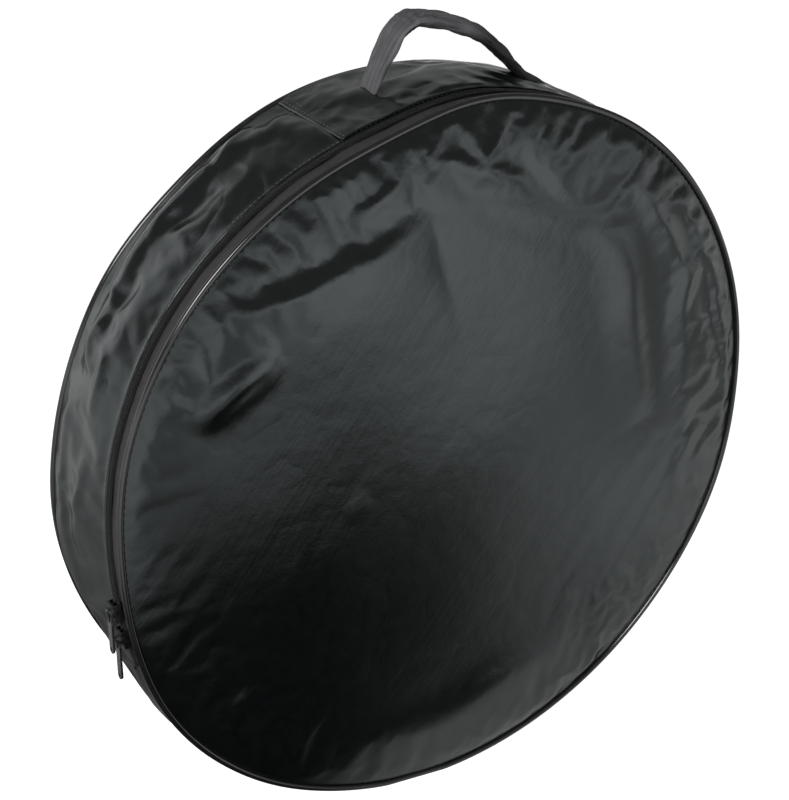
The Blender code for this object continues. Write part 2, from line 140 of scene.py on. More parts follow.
def front_rim(angles):
    return RIM * (1 + wander(FRONT_RIM_shares, angles))


def rear_rim(angles):
    return RIM * (1 + wander(REAR_RIM_shares, angles))


def gusset_shift(angles, y):
    """How far the side bands move in or out with the two seams that hold them."""
    share = np.clip((y - FRONT) / (REAR - FRONT), 0, 1)
    return (front_rim(angles) - RIM) * (1 - share) + (rear_rim(angles) - RIM) * share


def place(angles, radius, y):
    """World points from angles in degrees, a radius from the bag's centre and a depth."""
    turn = np.radians(angles)
    return np.stack(np.broadcast_arrays(radius * np.sin(turn), y, CENTRE + radius * np.cos(turn)), -1)


def waves(points, size, seed, count=24, spread=1.5):
    """Smooth random relief of unit strength: a sum of plane waves about one length long."""
    chance = np.random.default_rng(seed)
    total = np.zeros(points.shape[:-1])
    for _ in range(count):
        way = chance.normal(size=points.shape[-1])
        way /= np.linalg.norm(way)
        length = size * spread ** chance.uniform(-1, 1)
        total += np.cos(2 * pi * (points @ way) / length + chance.uniform(0, 2 * pi))
    return total / sqrt(count / 2)


# Creased relief: how far and on what length its waves are bent, and how blunt its folds are
BEND_share = 0.3
BEND_LENGTH_share = 1.6
BLUNTNESS = 0.25


def crumple(points, size, seed):
    """Creased relief from -1 to 1: bent waves, folded where they cross zero."""
    bent = points.copy()
    for axis in range(points.shape[-1]):
        bent[..., axis] += BEND_share * size * waves(points, size * BEND_LENGTH_share, seed + 1 + axis)
    height = waves(bent, size, seed)
    return 1 - 2 * np.sqrt(height * height + BLUNTNESS * BLUNTNESS) / (1 + np.abs(height))


def smooth_path(points, steps=8):
    """A Catmull-Rom curve through a list of points."""
    points = [np.array(point, float) for point in points]
    points = [2 * points[0] - points[1]] + points + [2 * points[-1] - points[-2]]
    curve = []
    for before, start, end, after in zip(points, points[1:], points[2:], points[3:]):
        for share in np.arange(steps) / steps:
            curve.append(0.5 * (
                2 * start + (end - before) * share
                + (2 * before - 5 * start + 4 * end - after) * share ** 2
                + (3 * start - before - 3 * end + after) * share ** 3))
    return np.array(curve + [points[-2]])


TAPER_POWER = 0.7


def fold(u, v, path, width, height, lean=0.0):
    """A ridge along a path in the cloth, tapered at both ends; lean makes one side steeper."""
    line = smooth_path(path)
    steps = np.linalg.norm(np.diff(line, axis=0), axis=1)
    total = steps.sum()
    nearest = np.full(u.shape, np.inf)
    along = np.zeros(u.shape)
    side = np.zeros(u.shape)
    done = 0.0
    for start, end, step in zip(line, line[1:], steps):
        du, dv = (end - start) / step
        reach = np.clip((u - start[0]) * du + (v - start[1]) * dv, 0, step)
        off_u = u - start[0] - reach * du
        off_v = v - start[1] - reach * dv
        distance = np.hypot(off_u, off_v)
        closer = distance < nearest
        nearest = np.where(closer, distance, nearest)
        along = np.where(closer, done + reach, along)
        side = np.where(closer, np.sign(du * off_v - dv * off_u), side)
        done += step
    taper = np.sin(pi * np.clip(along / total, 0, 1)) ** TAPER_POWER
    across = nearest / width * (1 + lean * side)
    return height * taper * np.exp(-across * across)


# Helpers: meshes


def in_scene(name, data):
    """A new object in the scene that holds the data given."""
    made = bpy.data.objects.new(name, data)
    bpy.context.collection.objects.link(made)
    return made


def new_piece(name, vertices, faces, cloth):
    """A smooth-shaded mesh object; cloth holds each vertex's place on the cloth in metres."""
    mesh = bpy.data.meshes.new(name)
    mesh.from_pydata(vertices.reshape(-1, 3).tolist(), [], faces)
    layer = mesh.uv_layers.new(name="cloth")
    corners = np.empty(len(mesh.loops), np.int32)
    mesh.loops.foreach_get("vertex_index", corners)
    layer.data.foreach_set("uv", cloth.reshape(-1, 2)[corners].astype(np.float32).ravel())
    mesh.shade_smooth()
    return in_scene(name, mesh)


def grid_faces(rows, columns, wrap_rows=False, wrap_columns=False):
    """Quads between neighbouring points of a grid."""
    faces = []
    for row in range(rows if wrap_rows else rows - 1):
        below = (row + 1) % rows
        for column in range(columns if wrap_columns else columns - 1):
            after = (column + 1) % columns
            faces.append((
                row * columns + column, row * columns + after,
                below * columns + after, below * columns + column))
    return faces


def capped_faces(rings, sides):
    """The faces of a tube made of rings, with a cap at each end."""
    faces = grid_faces(rings, sides, wrap_columns=True)
    return faces + [tuple(range(sides))[::-1], tuple(range((rings - 1) * sides, rings * sides))]


def grid_piece(name, points, cloth, wrap_rows=False, wrap_columns=False, flip=False):
    faces = grid_faces(points.shape[0], points.shape[1], wrap_rows, wrap_columns)
    if flip:
        faces = [face[::-1] for face in faces]
    return new_piece(name, points, faces, cloth)


def face_out(piece, side):
    """Turn the faces so that they look along Y on the side given."""
    piece.data.update()
    if sum(polygon.normal[1] for polygon in piece.data.polygons) * side < 0:
        piece.data.flip_normals()


def bake(piece):
    """Replace the mesh by what its modifiers make of it."""
    bpy.context.view_layer.update()
    evaluated = piece.evaluated_get(bpy.context.evaluated_depsgraph_get())
    mesh = bpy.data.meshes.new_from_object(evaluated)
    piece.modifiers.clear()
    old = piece.data
    piece.data = mesh
    bpy.data.meshes.remove(old)


def modify(piece, kind, **settings):
    """Run one modifier on a mesh and keep the result."""
    modifier = piece.modifiers.new(kind.lower(), kind)
    for key, value in settings.items():
        setattr(modifier, key, value)
    bake(piece)


def thicken(piece, thickness, offset=-1):
    """Give a surface its thickness: inwards, or outwards with an offset of 1."""
    modify(piece, "SOLIDIFY", thickness=thickness, offset=offset)


def finer(piece):
    """Smooth a mesh with one subdivision."""
    modify(piece, "SUBSURF", levels=1, render_levels=1, use_limit_surface=False, uv_smooth="NONE")


CLOTH_STRETCH = 15.0
CLOTH_SETTINGS = {
    "quality": 6,
    "mass": 0.15,
    "tension_stiffness": CLOTH_STRETCH,
    "compression_stiffness": CLOTH_STRETCH,
    "shear_stiffness": CLOTH_STRETCH / 3,
    "tension_damping": 5,
    "compression_damping": 5,
    "bending_damping": 0.5,
    "air_damping": 2,
    "vertex_group_mass": "held",
    "vertex_group_shrink": "taut",
}


def settle(piece, held, slack, grow, frames, bending, padding):
    """Let slack cloth buckle between the seams that hold it, and keep the result.

    slack is each point's share of the most that the cloth may grow, and padding is how firmly
    the foam under the cloth holds it to its first shape.
    """
    group = piece.vertex_groups.new(name="held")
    group.add(list(range(len(piece.data.vertices))), padding, "REPLACE")
    group.add([int(index) for index in held], 1.0, "REPLACE")
    taut = piece.vertex_groups.new(name="taut")
    for index, share in enumerate(slack):
        taut.add([index], 1 - float(share), "REPLACE")
    cloth = piece.modifiers.new("cloth", "CLOTH")
    for key, value in CLOTH_SETTINGS.items():
        setattr(cloth.settings, key, value)
    cloth.settings.bending_stiffness = bending
    cloth.settings.shrink_min = -grow
    cloth.settings.shrink_max = 0
    cloth.settings.effector_weights.gravity = 0
    cloth.collision_settings.use_collision = False
    cloth.point_cache.frame_start = 1
    cloth.point_cache.frame_end = frames
    for step in range(1, frames + 1):
        bpy.context.scene.frame_set(step)
    bake(piece)
    piece.vertex_groups.clear()
    bpy.context.scene.frame_set(1)


def tube(name, line, radius, sides=10, closed=False, squash=1.0):
    """A round tube along points; squash narrows it across the second direction."""
    ahead = np.roll(line, -1, 0) - np.roll(line, 1, 0)
    if not closed:
        ahead[0] = line[1] - line[0]
        ahead[-1] = line[-1] - line[-2]
    ahead /= np.linalg.norm(ahead, axis=1)[:, None]
    depth = np.array((0.0, 1.0, 0.0))
    across = np.cross(ahead, depth)
    across /= np.linalg.norm(across, axis=1)[:, None]
    other = np.cross(across, ahead)
    turns = 2 * pi * np.arange(sides) / sides
    rings = line[:, None, :] + radius * (
        np.cos(turns)[None, :, None] * across[:, None, :]
        + squash * np.sin(turns)[None, :, None] * other[:, None, :])
    steps = np.linalg.norm(np.diff(line, axis=0, append=line[:1]), axis=1)
    lengths = np.concatenate(([0], np.cumsum(steps)[:-1]))
    cloth = np.stack(np.broadcast_arrays(lengths[:, None], radius * turns[None, :]), -1)
    if closed:
        faces = grid_faces(len(line), sides, wrap_rows=True, wrap_columns=True)
    else:
        faces = capped_faces(len(line), sides)
    return new_piece(name, rings, faces, cloth)


# Helpers: materials


class Nodes:
    """Short calls for building the nodes of a material or of the world."""

    def __init__(self, owner):
        owner.use_nodes = True
        self.owner = owner
        self.tree = owner.node_tree
        self.shader = self.tree.nodes.get("Principled BSDF")

    def add(self, kind, settings=(), **links):
        """A node with its settings; a link's key is an input's name, or _ and its number."""
        node = self.tree.nodes.new("ShaderNode" + kind)
        for key, value in dict(settings).items():
            setattr(node, key, value)
        for key, value in links.items():
            self.put(node.inputs[int(key[1:]) if key[0] == "_" else key.replace("_", " ")], value)
        return node

    def put(self, socket, value):
        if isinstance(value, bpy.types.NodeSocket):
            self.tree.links.new(value, socket)
        else:
            socket.default_value = value

    def cloth(self):
        return self.add("UVMap", {"uv_map": "cloth"}).outputs[0]

    def space(self):
        return self.add("TexCoord").outputs["Object"]

    def stretched(self, vector, scale):
        return self.add("Mapping", Vector=vector, Scale=scale).outputs[0]

    def noise(self, vector, scale, detail=2.0, rough=0.5):
        return self.add(
            "TexNoise", Vector=vector, Scale=scale, Detail=detail, Roughness=rough).outputs["Fac"]

    def math(self, operation, first, second=0.0):
        return self.add("Math", {"operation": operation}, _0=first, _1=second).outputs[0]

    def between(self, value, low, high, start, end, smooth=False):
        """Carry a value from one range to another, in a straight line or a smooth step."""
        settings = {"interpolation_type": "SMOOTHSTEP"} if smooth else {}
        node = self.add(
            "MapRange", settings, Value=value, From_Min=low, From_Max=high, To_Min=start, To_Max=end)
        return node.outputs["Result"]

    def blend(self, share, first, second):
        """A mix of two colours, which are the mix node's inputs 6 and 7 and its output 2."""
        return self.add("Mix", {"data_type": "RGBA"}, Factor=share, _6=first, _7=second).outputs[2]

    def weave(self, pitch):
        """Plain weave: two crossed sets of threads, read on the cloth."""
        cloth = self.add("SeparateXYZ", Vector=self.cloth())
        warp = self.math("SINE", self.math("MULTIPLY", cloth.outputs[0], 2 * pi / pitch))
        weft = self.math("SINE", self.math("MULTIPLY", cloth.outputs[1], 2 * pi / pitch))
        return self.math("MULTIPLY", warp, weft)

    def bump(self, height, distance, below=None):
        node = self.add("Bump", Height=height, Distance=distance, Strength=1.0)
        if below is not None:
            self.put(node.inputs["Normal"], below)
        return node.outputs[0]

    def seen(self):
        """One for what the camera, gloss and glass look at, and nought for other light."""
        path = self.add("LightPath").outputs
        gloss = self.math("MAXIMUM", path["Is Glossy Ray"], path["Is Transmission Ray"])
        return self.math("MAXIMUM", path["Is Camera Ray"], gloss)

    def glow(self, strength):
        return self.add("Emission", Color=(1, 1, 1, 1), Strength=strength)

    def finish(self, **values):
        """The material, with values or links given to its principled shader."""
        for key, value in values.items():
            self.put(self.shader.inputs[key.replace("_", " ")], value)
        return self.owner

    def show(self, shader):
        """The material, with another shader in the principled one's place."""
        self.tree.nodes.remove(self.shader)
        self.tree.links.new(shader.outputs[0], self.tree.nodes["Material Output"].inputs["Surface"])
        return self.owner


def new_material(name):
    return Nodes(bpy.data.materials.new(name))


# Materials

COATING_DARK = (0.003, 0.0034, 0.0035, 1)
COATING_PALE = (0.005, 0.0056, 0.0058, 1)
COATING_TINT = (0.9, 1.0, 1.0, 1)
# The coating's small relief, as the scale, detail and height of each noise
COATING_GRAINS = ((60, 3, 0.0002), (130, 3, 0.00006), (800, 1, 0.00003))
BRUSH_TURN = radians(59)


def coated_nylon(name, on_panel, crease, streaks, smooth):
    """Black, with a coating that shines where the cloth is creased, and brushed one way."""
    n = new_material(name)
    space = n.space()
    if on_panel:
        turned = n.add("VectorRotate", {"rotation_type": "Y_AXIS"}, Vector=space, Angle=BRUSH_TURN).outputs[0]
        brushed = n.noise(n.stretched(turned, (3, 3, 380)), 1.0, 3, 0.6)
    else:
        brushed = n.noise(n.stretched(n.cloth(), (420, 14, 14)), 1.0, 2)
    mixed = n.math("ADD", n.math("MULTIPLY", n.noise(space, 11, 3), 0.7), n.math("MULTIPLY", brushed, 0.3))
    colour = n.blend(n.between(n.noise(space, 130, 3), 0.3, 0.7, 0, 1), COATING_DARK, COATING_PALE)
    creases = n.math("ABSOLUTE", n.math("SUBTRACT", n.noise(space, 24), 0.5))
    normal = n.bump(creases, crease)
    for scale, detail, height in COATING_GRAINS:
        normal = n.bump(n.noise(space, scale, detail), height, normal)
    normal = n.bump(n.between(brushed, 0.35, 0.65, 0, 1), streaks, normal)
    normal = n.bump(n.weave(0.0008), 0.000008, normal)
    return n.finish(
        Base_Color=colour, Roughness=n.between(mixed, 0.35, 0.65, smooth, smooth + 0.05),
        Normal=normal, Specular_IOR_Level=0.85, Specular_Tint=COATING_TINT)


WEAVE_HEIGHT_share = 0.12


def plain_finish(name, dark, light, rough, grain, grain_height, weave=None, metallic=0.0, specular=0.5):
    """A surface of one colour with grain, and a weave where it has one."""
    n = new_material(name)
    cloud = n.noise(n.space(), grain, 3)
    normal = n.bump(cloud, grain_height)
    if weave is not None:
        normal = n.bump(n.weave(weave), weave * WEAVE_HEIGHT_share, normal)
    return n.finish(
        Base_Color=n.blend(n.between(cloud, 0.3, 0.7, 0, 1), (*dark, 1), (*light, 1)),
        Normal=normal, Metallic=metallic, Specular_IOR_Level=specular,
        Roughness=n.between(cloud, 0.3, 0.7, rough - 0.05, rough + 0.05))


STRAP_DARK = (0.05, 0.048, 0.053, 1)
STRAP_PALE = (0.135, 0.132, 0.14, 1)
# Painted shade: between these shares of its length the strap's colour is blended to this near-black, for the
# handle's side that lies in shade
STRAP_PAINTED_SHADE = (0.02, 0.021, 0.021, 1)
STRAP_PAINTED_SHADE_shares = (0.53, 0.67)


def strap_nylon(length):
    """The handle's cloth: paler, with creases along the strap, and painted shade from past its middle on,
    where its colour is darkened for the handle's shaded side.
    """
    n = new_material("handle_nylon")
    lengthwise = n.noise(n.stretched(n.cloth(), (14, 380, 1)), 1.0, 3, 0.6)
    cloud = n.noise(n.space(), 90, 3)
    mixed = n.math("ADD", n.math("MULTIPLY", lengthwise, 0.7), n.math("MULTIPLY", cloud, 0.3))
    colour = n.blend(n.between(mixed, 0.35, 0.65, 0, 1), STRAP_DARK, STRAP_PALE)
    along = n.add("SeparateXYZ", Vector=n.cloth()).outputs[0]
    # Painted shade: how far along the strap its colour is darkened for its shaded side
    painted_shade = n.between(along, STRAP_PAINTED_SHADE_shares[0] * length, STRAP_PAINTED_SHADE_shares[1] * length, 0, 1)
    normal = n.bump(cloud, 0.0006, n.bump(lengthwise, 0.0012))
    normal = n.bump(n.weave(0.001), 0.0001, normal)
    return n.finish(Base_Color=n.blend(painted_shade, colour, STRAP_PAINTED_SHADE), Normal=normal, Roughness=0.5)


NYLON = coated_nylon("panel_nylon", True, 0.0006, 0.00002, 0.12)
BAND_NYLON = coated_nylon("band_nylon", False, 0.0032, 0.00001, 0.19)
VINYL = plain_finish(
    "piping_vinyl", (0.007, 0.007, 0.008), (0.012, 0.012, 0.013), 0.13, 60, 0.00005, specular=1.0)
TAPE = plain_finish(
    "zip_tape", (0.038, 0.037, 0.039), (0.055, 0.054, 0.057), 0.85, 300, 0.0001, 0.0009)
COIL = plain_finish(
    "zip_coil", (0.008, 0.008, 0.008), (0.014, 0.014, 0.014), 0.4, 300, 0.00003)
METAL = plain_finish(
    "zip_metal", (0.10, 0.10, 0.10), (0.15, 0.15, 0.15), 0.35, 400, 0.00002, metallic=1.0)
TAB_METAL = plain_finish(
    "tab_metal", (0.28, 0.29, 0.28), (0.38, 0.39, 0.38), 0.25, 400, 0.00002, metallic=1.0)
LINING = plain_finish(
    "lining_cloth", (0.012, 0.012, 0.013), (0.02, 0.02, 0.022), 0.7, 40, 0.0006, 0.0008)
BINDING = plain_finish(
    "binding_cloth", (0.02, 0.02, 0.022), (0.035, 0.035, 0.037), 0.8, 200, 0.0001, 0.0012)
FOAM = plain_finish(
    "padding_foam", (0.10, 0.10, 0.10), (0.14, 0.14, 0.14), 0.95, 500, 0.0002)
THREAD = plain_finish(
    "thread", (0.06, 0.06, 0.062), (0.10, 0.10, 0.103), 0.55, 800, 0.00002)


def dress(piece, material, slot, body, *nodes):
    """Give a piece its material, the body it rides on and the nodes it stands for. The slot is not used."""
    piece.data.materials.clear()
    piece.data.materials.append(material)
    if nodes:
        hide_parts(*nodes)
    if body == LID_FOLD:
        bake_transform(piece)
    else:
        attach(piece, body)


# Stitches

STITCH_PITCH = 0.0033
STITCH_share = 0.62
STITCH_RADIUS = 0.00028
STITCH_SIDES = 6
STITCH_OFFSET = 0.0001      # over the patch, and into the hem
# A stitch's rings: place from its middle and thickness, as shares of its length and radius
STITCH_RING_shares = ((-0.5, 0.35), (-0.3, 1.0), (0.3, 1.0), (0.5, 0.35))
OFF_AXIS = (0.31, 0.52, 0.8)


def on_surface(piece, points, lift):
    """The points moved to the nearest places on a piece, and then out by the lift."""
    moved = []
    for point in points:
        _, nearest, normal, _ = piece.closest_point_on_mesh(Vector(point))
        moved.append(nearest + lift * normal)
    return np.array(moved)


def stitch_rows(name, rows, body):
    """Short lengths of thread along each row of points, joined in one piece."""
    vertices = []
    faces = []
    around = np.radians(np.arange(STITCH_SIDES) * 360 / STITCH_SIDES)
    places, sizes = np.array(STITCH_RING_shares).T
    for row in rows:
        steps = np.linalg.norm(np.diff(row, axis=0), axis=1)
        lengths = np.concatenate(([0], np.cumsum(steps)))
        count = int(lengths[-1] / STITCH_PITCH)
        for number in range(count):
            middle = (number + 0.5) * lengths[-1] / count
            ends = middle + STITCH_PITCH * STITCH_share * places
            spots = np.stack([np.interp(ends, lengths, row[:, axis]) for axis in range(3)], -1)
            ahead = spots[-1] - spots[0]
            ahead /= np.linalg.norm(ahead)
            side = np.cross(ahead, OFF_AXIS)
            side /= np.linalg.norm(side)
            other = np.cross(ahead, side)
            first = len(vertices)
            for spot_on, size in zip(spots, sizes):
                vertices.extend(spot_on + STITCH_RADIUS * size * (
                    np.cos(around)[:, None] * side + np.sin(around)[:, None] * other))
            for face in capped_faces(len(sizes), STITCH_SIDES):
                faces.append(tuple(first + corner for corner in face))
    vertices = np.array(vertices)
    piece = new_piece(name, vertices, faces, vertices[:, :2])
    dress(piece, THREAD, "black_nylon", body)


# Panels


CROWN_POWER = 9
PLEAT_COUNT = 70
PLEAT_WIDTHS = (1.0, 2.4)
PLEAT_LENGTH_shares = (0.35, 1.3)
PLEAT_SLANT = 30
PLEAT_START_share = 0.03


def panel_crown(share, height):
    """How far a panel stands out of its seam: flat inside, rounded down near the seam."""
    return height * (1 - share ** CROWN_POWER)


def rim_gathers(share, angles, seed, reach):
    """Short pleats that run in from the seam, each with its own length and strength."""
    chance = np.random.default_rng(seed)
    total = np.zeros(share.shape)
    inward = 1 - share
    for _ in range(PLEAT_COUNT):
        middle = chance.uniform(0, 360)
        width = chance.uniform(*PLEAT_WIDTHS)
        length = chance.uniform(*PLEAT_LENGTH_shares) * reach
        slant = chance.uniform(-PLEAT_SLANT, PLEAT_SLANT)
        off = (angles - middle - slant * inward + 180) % 360 - 180
        strength = chance.uniform(0.3, 1.0) * chance.choice((-1, 1))
        total += strength * np.exp(-(off / width) ** 2) * np.exp(-(inward / length) ** 2)
    return total * np.clip(inward / PLEAT_START_share, 0, 1)


def spot(angle, share):
    """X and Z on a panel from an angle and a share of the rim."""
    return RIM * share * sin(radians(angle)), RIM * share * cos(radians(angle))


def mound(points, place_on_panel, reach, power=2):
    """One at a place on a panel, falling off to nothing past a reach."""
    away = np.linalg.norm(points - np.array(spot(*place_on_panel)), axis=-1) / reach
    return np.exp(-away ** power)


# Folds of the front panel: a path of (angle, share of the rim), its width, height and lean
FRONT_FOLDS = (
    (((-60, 0.95), (-53, 0.85), (-43, 0.77), (-32, 0.73), (-18, 0.73)), 0.016, 0.0050, 0.7),
    (((-74.5, 0.86), (-70, 0.83), (-66, 0.805), (-62, 0.775), (-58, 0.735)), 0.0095, 0.0046, 0.15),
    (((-10, 0.99), (-6, 0.87), (-3, 0.90), (-2, 0.99)), 0.0035, 0.0016, 0.0),
    (((-14, 0.89), (-6, 0.84), (5, 0.80)), 0.005, 0.0020, 0.5),
    (((-33, 0.84), (-26, 0.86), (-20, 0.87)), 0.004, 0.0014, 0.4),
    (((26, 0.80), (40, 0.70), (52, 0.63), (68, 0.60), (84, 0.62)), 0.011, 0.0030, 0.3),
    (((50, 0.93), (58, 0.80), (72, 0.76), (88, 0.78), (100, 0.86)), 0.009, 0.0024, 0.0),
    (((28, 0.90), (48, 0.84), (66, 0.83), (84, 0.89)), 0.008, 0.0022, 0.3),
    (((40, 0.95), (60, 0.92), (80, 0.94), (97, 0.97)), 0.005, 0.0016, 0.0),
    (((88, 0.84), (98, 0.80), (108, 0.86)), 0.006, 0.0014, 0.0),
    (((-160, 0.86), (179, 0.79), (160, 0.74), (142, 0.78)), 0.016, 0.0030, 0.0),
    (((-139, 0.98), (-134, 0.90), (-131, 0.80)), 0.004, 0.0014, 0.2),
    (((-146, 0.98), (-142, 0.89), (-140, 0.80)), 0.0045, 0.0014, 0.2),
    (((-153, 0.97), (-151, 0.88), (-150, 0.78)), 0.005, 0.0012, 0.2),
    (((-130, 0.98), (-126, 0.90), (-124, 0.84)), 0.004, 0.0012, 0.2),
)
FRONT_CROWN = 0.0075
BULGE_PLACE = (163, 0.86)
BULGE_REACH = 0.055
BULGE_HEIGHT = 0.0045
CRUMPLE_PLACE = (134, 0.86)
CRUMPLE_REACH = 0.04
CRUMPLE_HEIGHT = 0.0016
# Faint round marks in the cloth
MARK_PLACES = ((-100, 0.34), (-154, 0.63), (-48, 0.75))
MARK_RADIUS = 0.0085
MARK_HEIGHT = 0.0003
PLEAT_REACH_share = 0.09


def front_relief(x, z, share, angles):
    points = np.stack((x, z), -1)
    out = panel_crown(share, FRONT_CROWN)
    out += 0.0003 * waves(points, 0.16, 11) * (1 - share ** 6)
    out += 0.0007 * rim_gathers(share, angles, 13, PLEAT_REACH_share)
    inside = 1 - share ** 24
    for places, width, height, lean in FRONT_FOLDS:
        out += inside * fold(x, z, [spot(*place) for place in places], width, height, lean)
    out += inside * BULGE_HEIGHT * mound(points, BULGE_PLACE, BULGE_REACH)
    out += inside * CRUMPLE_HEIGHT * crumple(points, 0.028, 15) * mound(points, CRUMPLE_PLACE, CRUMPLE_REACH)
    for mark in MARK_PLACES:
        out += MARK_HEIGHT * mound(points, mark, MARK_RADIUS, 4)
    return out


# How much slack cloth is gathered along the front seam, as angle and share of the most
FRONT_GATHER_shares = (
    (-165, 0.3), (-145, 0.8), (-130, 0.7), (-115, 0.1), (-85, 0.1), (-62, 0.6), (-40, 0.9),
    (-10, 1.0), (10, 0.9), (35, 0.7), (60, 0.8), (95, 0.7), (120, 0.7), (140, 1.0), (160, 0.2), (180, 0.2),
)
BACK_CROWN = 0.0065


def front_gathers(angles):
    return wander(FRONT_GATHER_shares, angles)


def back_gathers(angles):
    return 0.6 + 0.4 * np.sin(np.radians(3 * angles + 40))


def back_relief(x, z, share, angles):
    points = np.stack((x, z), -1)
    out = panel_crown(share, BACK_CROWN)
    out += 0.0009 * waves(points, 0.15, 21) * (1 - share ** 6)
    out += 0.0008 * rim_gathers(share, angles, 23, PLEAT_REACH_share)
    return out


# A panel's mesh: rows of points along the seam, and inside them a grid with some disorder
CLOTH_STEP = 0.0048
CLOTH_ROWS = 60
CLOTH_EDGE_share = 0.955
CLOTH_JITTER_share = 0.12
RIM_STEPS = 300
RIM_ROW_shares = (1.0, 0.985, 0.97)
RIM_ROW_TWIST = 0.6
SEAM_INSET_share = 0.6
# Where a panel is held and slack, as shares of the rim, and how it settles
PANEL_HELD_share = 0.98
SLACK_START_share = 0.76
SLACK_RAMP_share = 0.18
PANEL_SETTLING = {"grow": 0.010, "frames": 22, "padding": 0.14}


def panel_cloth(name, side, rim, seam_y, relief, gathers, seed, bending):
    """A round sheet of cloth, sewn in at the rim and slack enough to gather there."""
    turns = np.arange(RIM_STEPS) * 360 / RIM_STEPS
    flat = []
    for ring, share in enumerate(RIM_ROW_shares):
        around = np.radians(turns + RIM_ROW_TWIST * ring)
        flat.append(RIM * np.stack((np.sin(around), np.cos(around)), -1) * share)
    rows = np.arange(-CLOTH_ROWS, CLOTH_ROWS + 1)
    across, up = np.meshgrid(rows, rows)
    grid = CLOTH_STEP * np.stack((across + 0.5 * (up % 2), up * sqrt(0.75)), -1).reshape(-1, 2)
    grid += CLOTH_JITTER_share * CLOTH_STEP * np.random.default_rng(seed).normal(size=grid.shape)
    grid = grid[np.hypot(grid[:, 0], grid[:, 1]) < CLOTH_EDGE_share * RIM]
    flat = np.concatenate(flat + [grid])
    made = geometry.delaunay_2d_cdt([Vector(point) for point in flat], [], [], 0, 1e-7)
    flat = np.array([tuple(point) for point in made[0]])
    faces = [tuple(face) for face in made[2]]
    share = np.hypot(flat[:, 0], flat[:, 1]) / RIM
    angles = np.degrees(np.arctan2(flat[:, 0], flat[:, 1]))
    seam = rim(angles) * share ** 2 + RIM * (1 - share ** 2) - SEAM_INSET_share * PIPING_RADIUS
    x = share * seam * np.sin(np.radians(angles))
    z = share * seam * np.cos(np.radians(angles))
    points = np.stack((x, seam_y + side * relief(x, z, share, angles), CENTRE + z), -1)
    piece = new_piece(name, points, faces, flat)
    face_out(piece, side)
    slack = np.clip((share - SLACK_START_share) / SLACK_RAMP_share, 0, 1) * gathers(angles)
    held = np.nonzero(share > PANEL_HELD_share)[0]
    settle(piece, held, slack, bending=bending, **PANEL_SETTLING)
    finer(piece)
    thicken(piece, SKIN)
    return piece


def front_panel():
    piece = panel_cloth("front_panel", -1, front_rim, FRONT, front_relief, front_gathers, 14, 1.2)
    dress(piece, NYLON, "black_nylon", LID_FOLD, "front_panel_lid", "front_panel_base")


def back_panel():
    piece = panel_cloth("back_panel_skin", 1, rear_rim, REAR, back_relief, back_gathers, 24, 1.5)
    dress(piece, NYLON, "black_nylon", BAG, "back_panel")


# Side bands

BAND_STEP = 0.75


def band_points(start, end, front, back, radius, relief, rows):
    """A side band's surface: rows run from the front edge to the back edge."""
    count = int(round((end - start) / BAND_STEP)) + 1
    angles = np.linspace(start, end, count)[None, :]
    y = np.linspace(front, back, rows)[:, None]
    angles, y = np.broadcast_arrays(angles, y)
    out = radius + gusset_shift(angles, y)
    base = place(angles, out, y)
    share = (y - front) / (back - front)
    out = out + relief(base - np.array((0, 0, CENTRE)), share, angles)
    cloth = np.stack((np.radians(angles) * radius, y), -1)
    return place(angles, out, y), cloth


# Folds of the side: a path of (angle, share of the depth from the front), width, height and lean
SIDE_FOLDS = (
    (((-37, 0.86), (-46, 0.87), (-56, 0.85), (-66, 0.84), (-77, 0.80)), 0.0090, -0.0030, 0.0),
    (((-27, 0.50), (-35, 0.66), (-45, 0.70), (-55, 0.68), (-64, 0.64), (-74, 0.62)), 0.0120, 0.0050, 0.35),
    (((-43, 0.38), (-48, 0.50), (-52, 0.62)), 0.0080, -0.0032, 0.0),
    (((-59, 0.40), (-63, 0.52), (-67, 0.58)), 0.0060, -0.0030, 0.3),
    (((-64, 0.52), (-70, 0.70), (-74, 0.50)), 0.0045, 0.0026, 0.0),
    (((-69, 0.48), (-72, 0.38), (-79, 0.34)), 0.0040, 0.0022, 0.0),
    (((-76, 0.78), (-88, 0.72), (-101, 0.62), (-113, 0.55)), 0.0090, 0.0034, 0.4),
    (((-84, 0.30), (-93, 0.42), (-104, 0.38)), 0.0070, 0.0024, 0.0),
    (((-96, 0.86), (-102, 0.78), (-110, 0.76)), 0.0050, 0.0022, 0.0),
    (((-27, 0.78), (-30, 0.62), (-33, 0.48)), 0.0050, 0.0026, 0.0),
    (((-32, 0.88), (-36, 0.74), (-40, 0.60)), 0.0050, 0.0030, 0.4),
    (((28, 0.58), (40, 0.68), (55, 0.62), (70, 0.66)), 0.0120, 0.0045, -0.3),
    (((44, 0.30), (60, 0.42), (74, 0.36)), 0.0070, 0.0026, 0.0),
    (((82, 0.72), (95, 0.60), (110, 0.66)), 0.0100, 0.0036, 0.3),
)


def gusset_relief(points, share, angles):
    """The side's folds, for the cloth to settle from."""
    held = 16 * (share * (1 - share)) ** 2
    out = held * (0.0014 * crumple(points, 0.09, 31) + 0.0006 * crumple(points, 0.032, 35))
    around = np.radians(angles) * RIM
    depth = share * (REAR - FRONT)
    edge = np.clip(6 * share, 0, 1) * np.clip(12 * (1 - share), 0, 1)
    for places, width, height, lean in SIDE_FOLDS:
        path = [(radians(angle) * RIM, across * (REAR - FRONT)) for angle, across in places]
        out = out + edge * fold(around, depth, path, width, height, lean)
    return out


def polar(points):
    """Angle in degrees, radius and depth of world points."""
    x, y, z = points[:, 0], points[:, 1], points[:, 2] - CENTRE
    return np.degrees(np.arctan2(x, z)), np.hypot(x, z), y


def read_points(piece):
    points = np.empty(len(piece.data.vertices) * 3)
    piece.data.vertices.foreach_get("co", points)
    return points.reshape(-1, 3)


def write_points(piece, points):
    piece.data.vertices.foreach_set("co", points.ravel())
    piece.data.update()


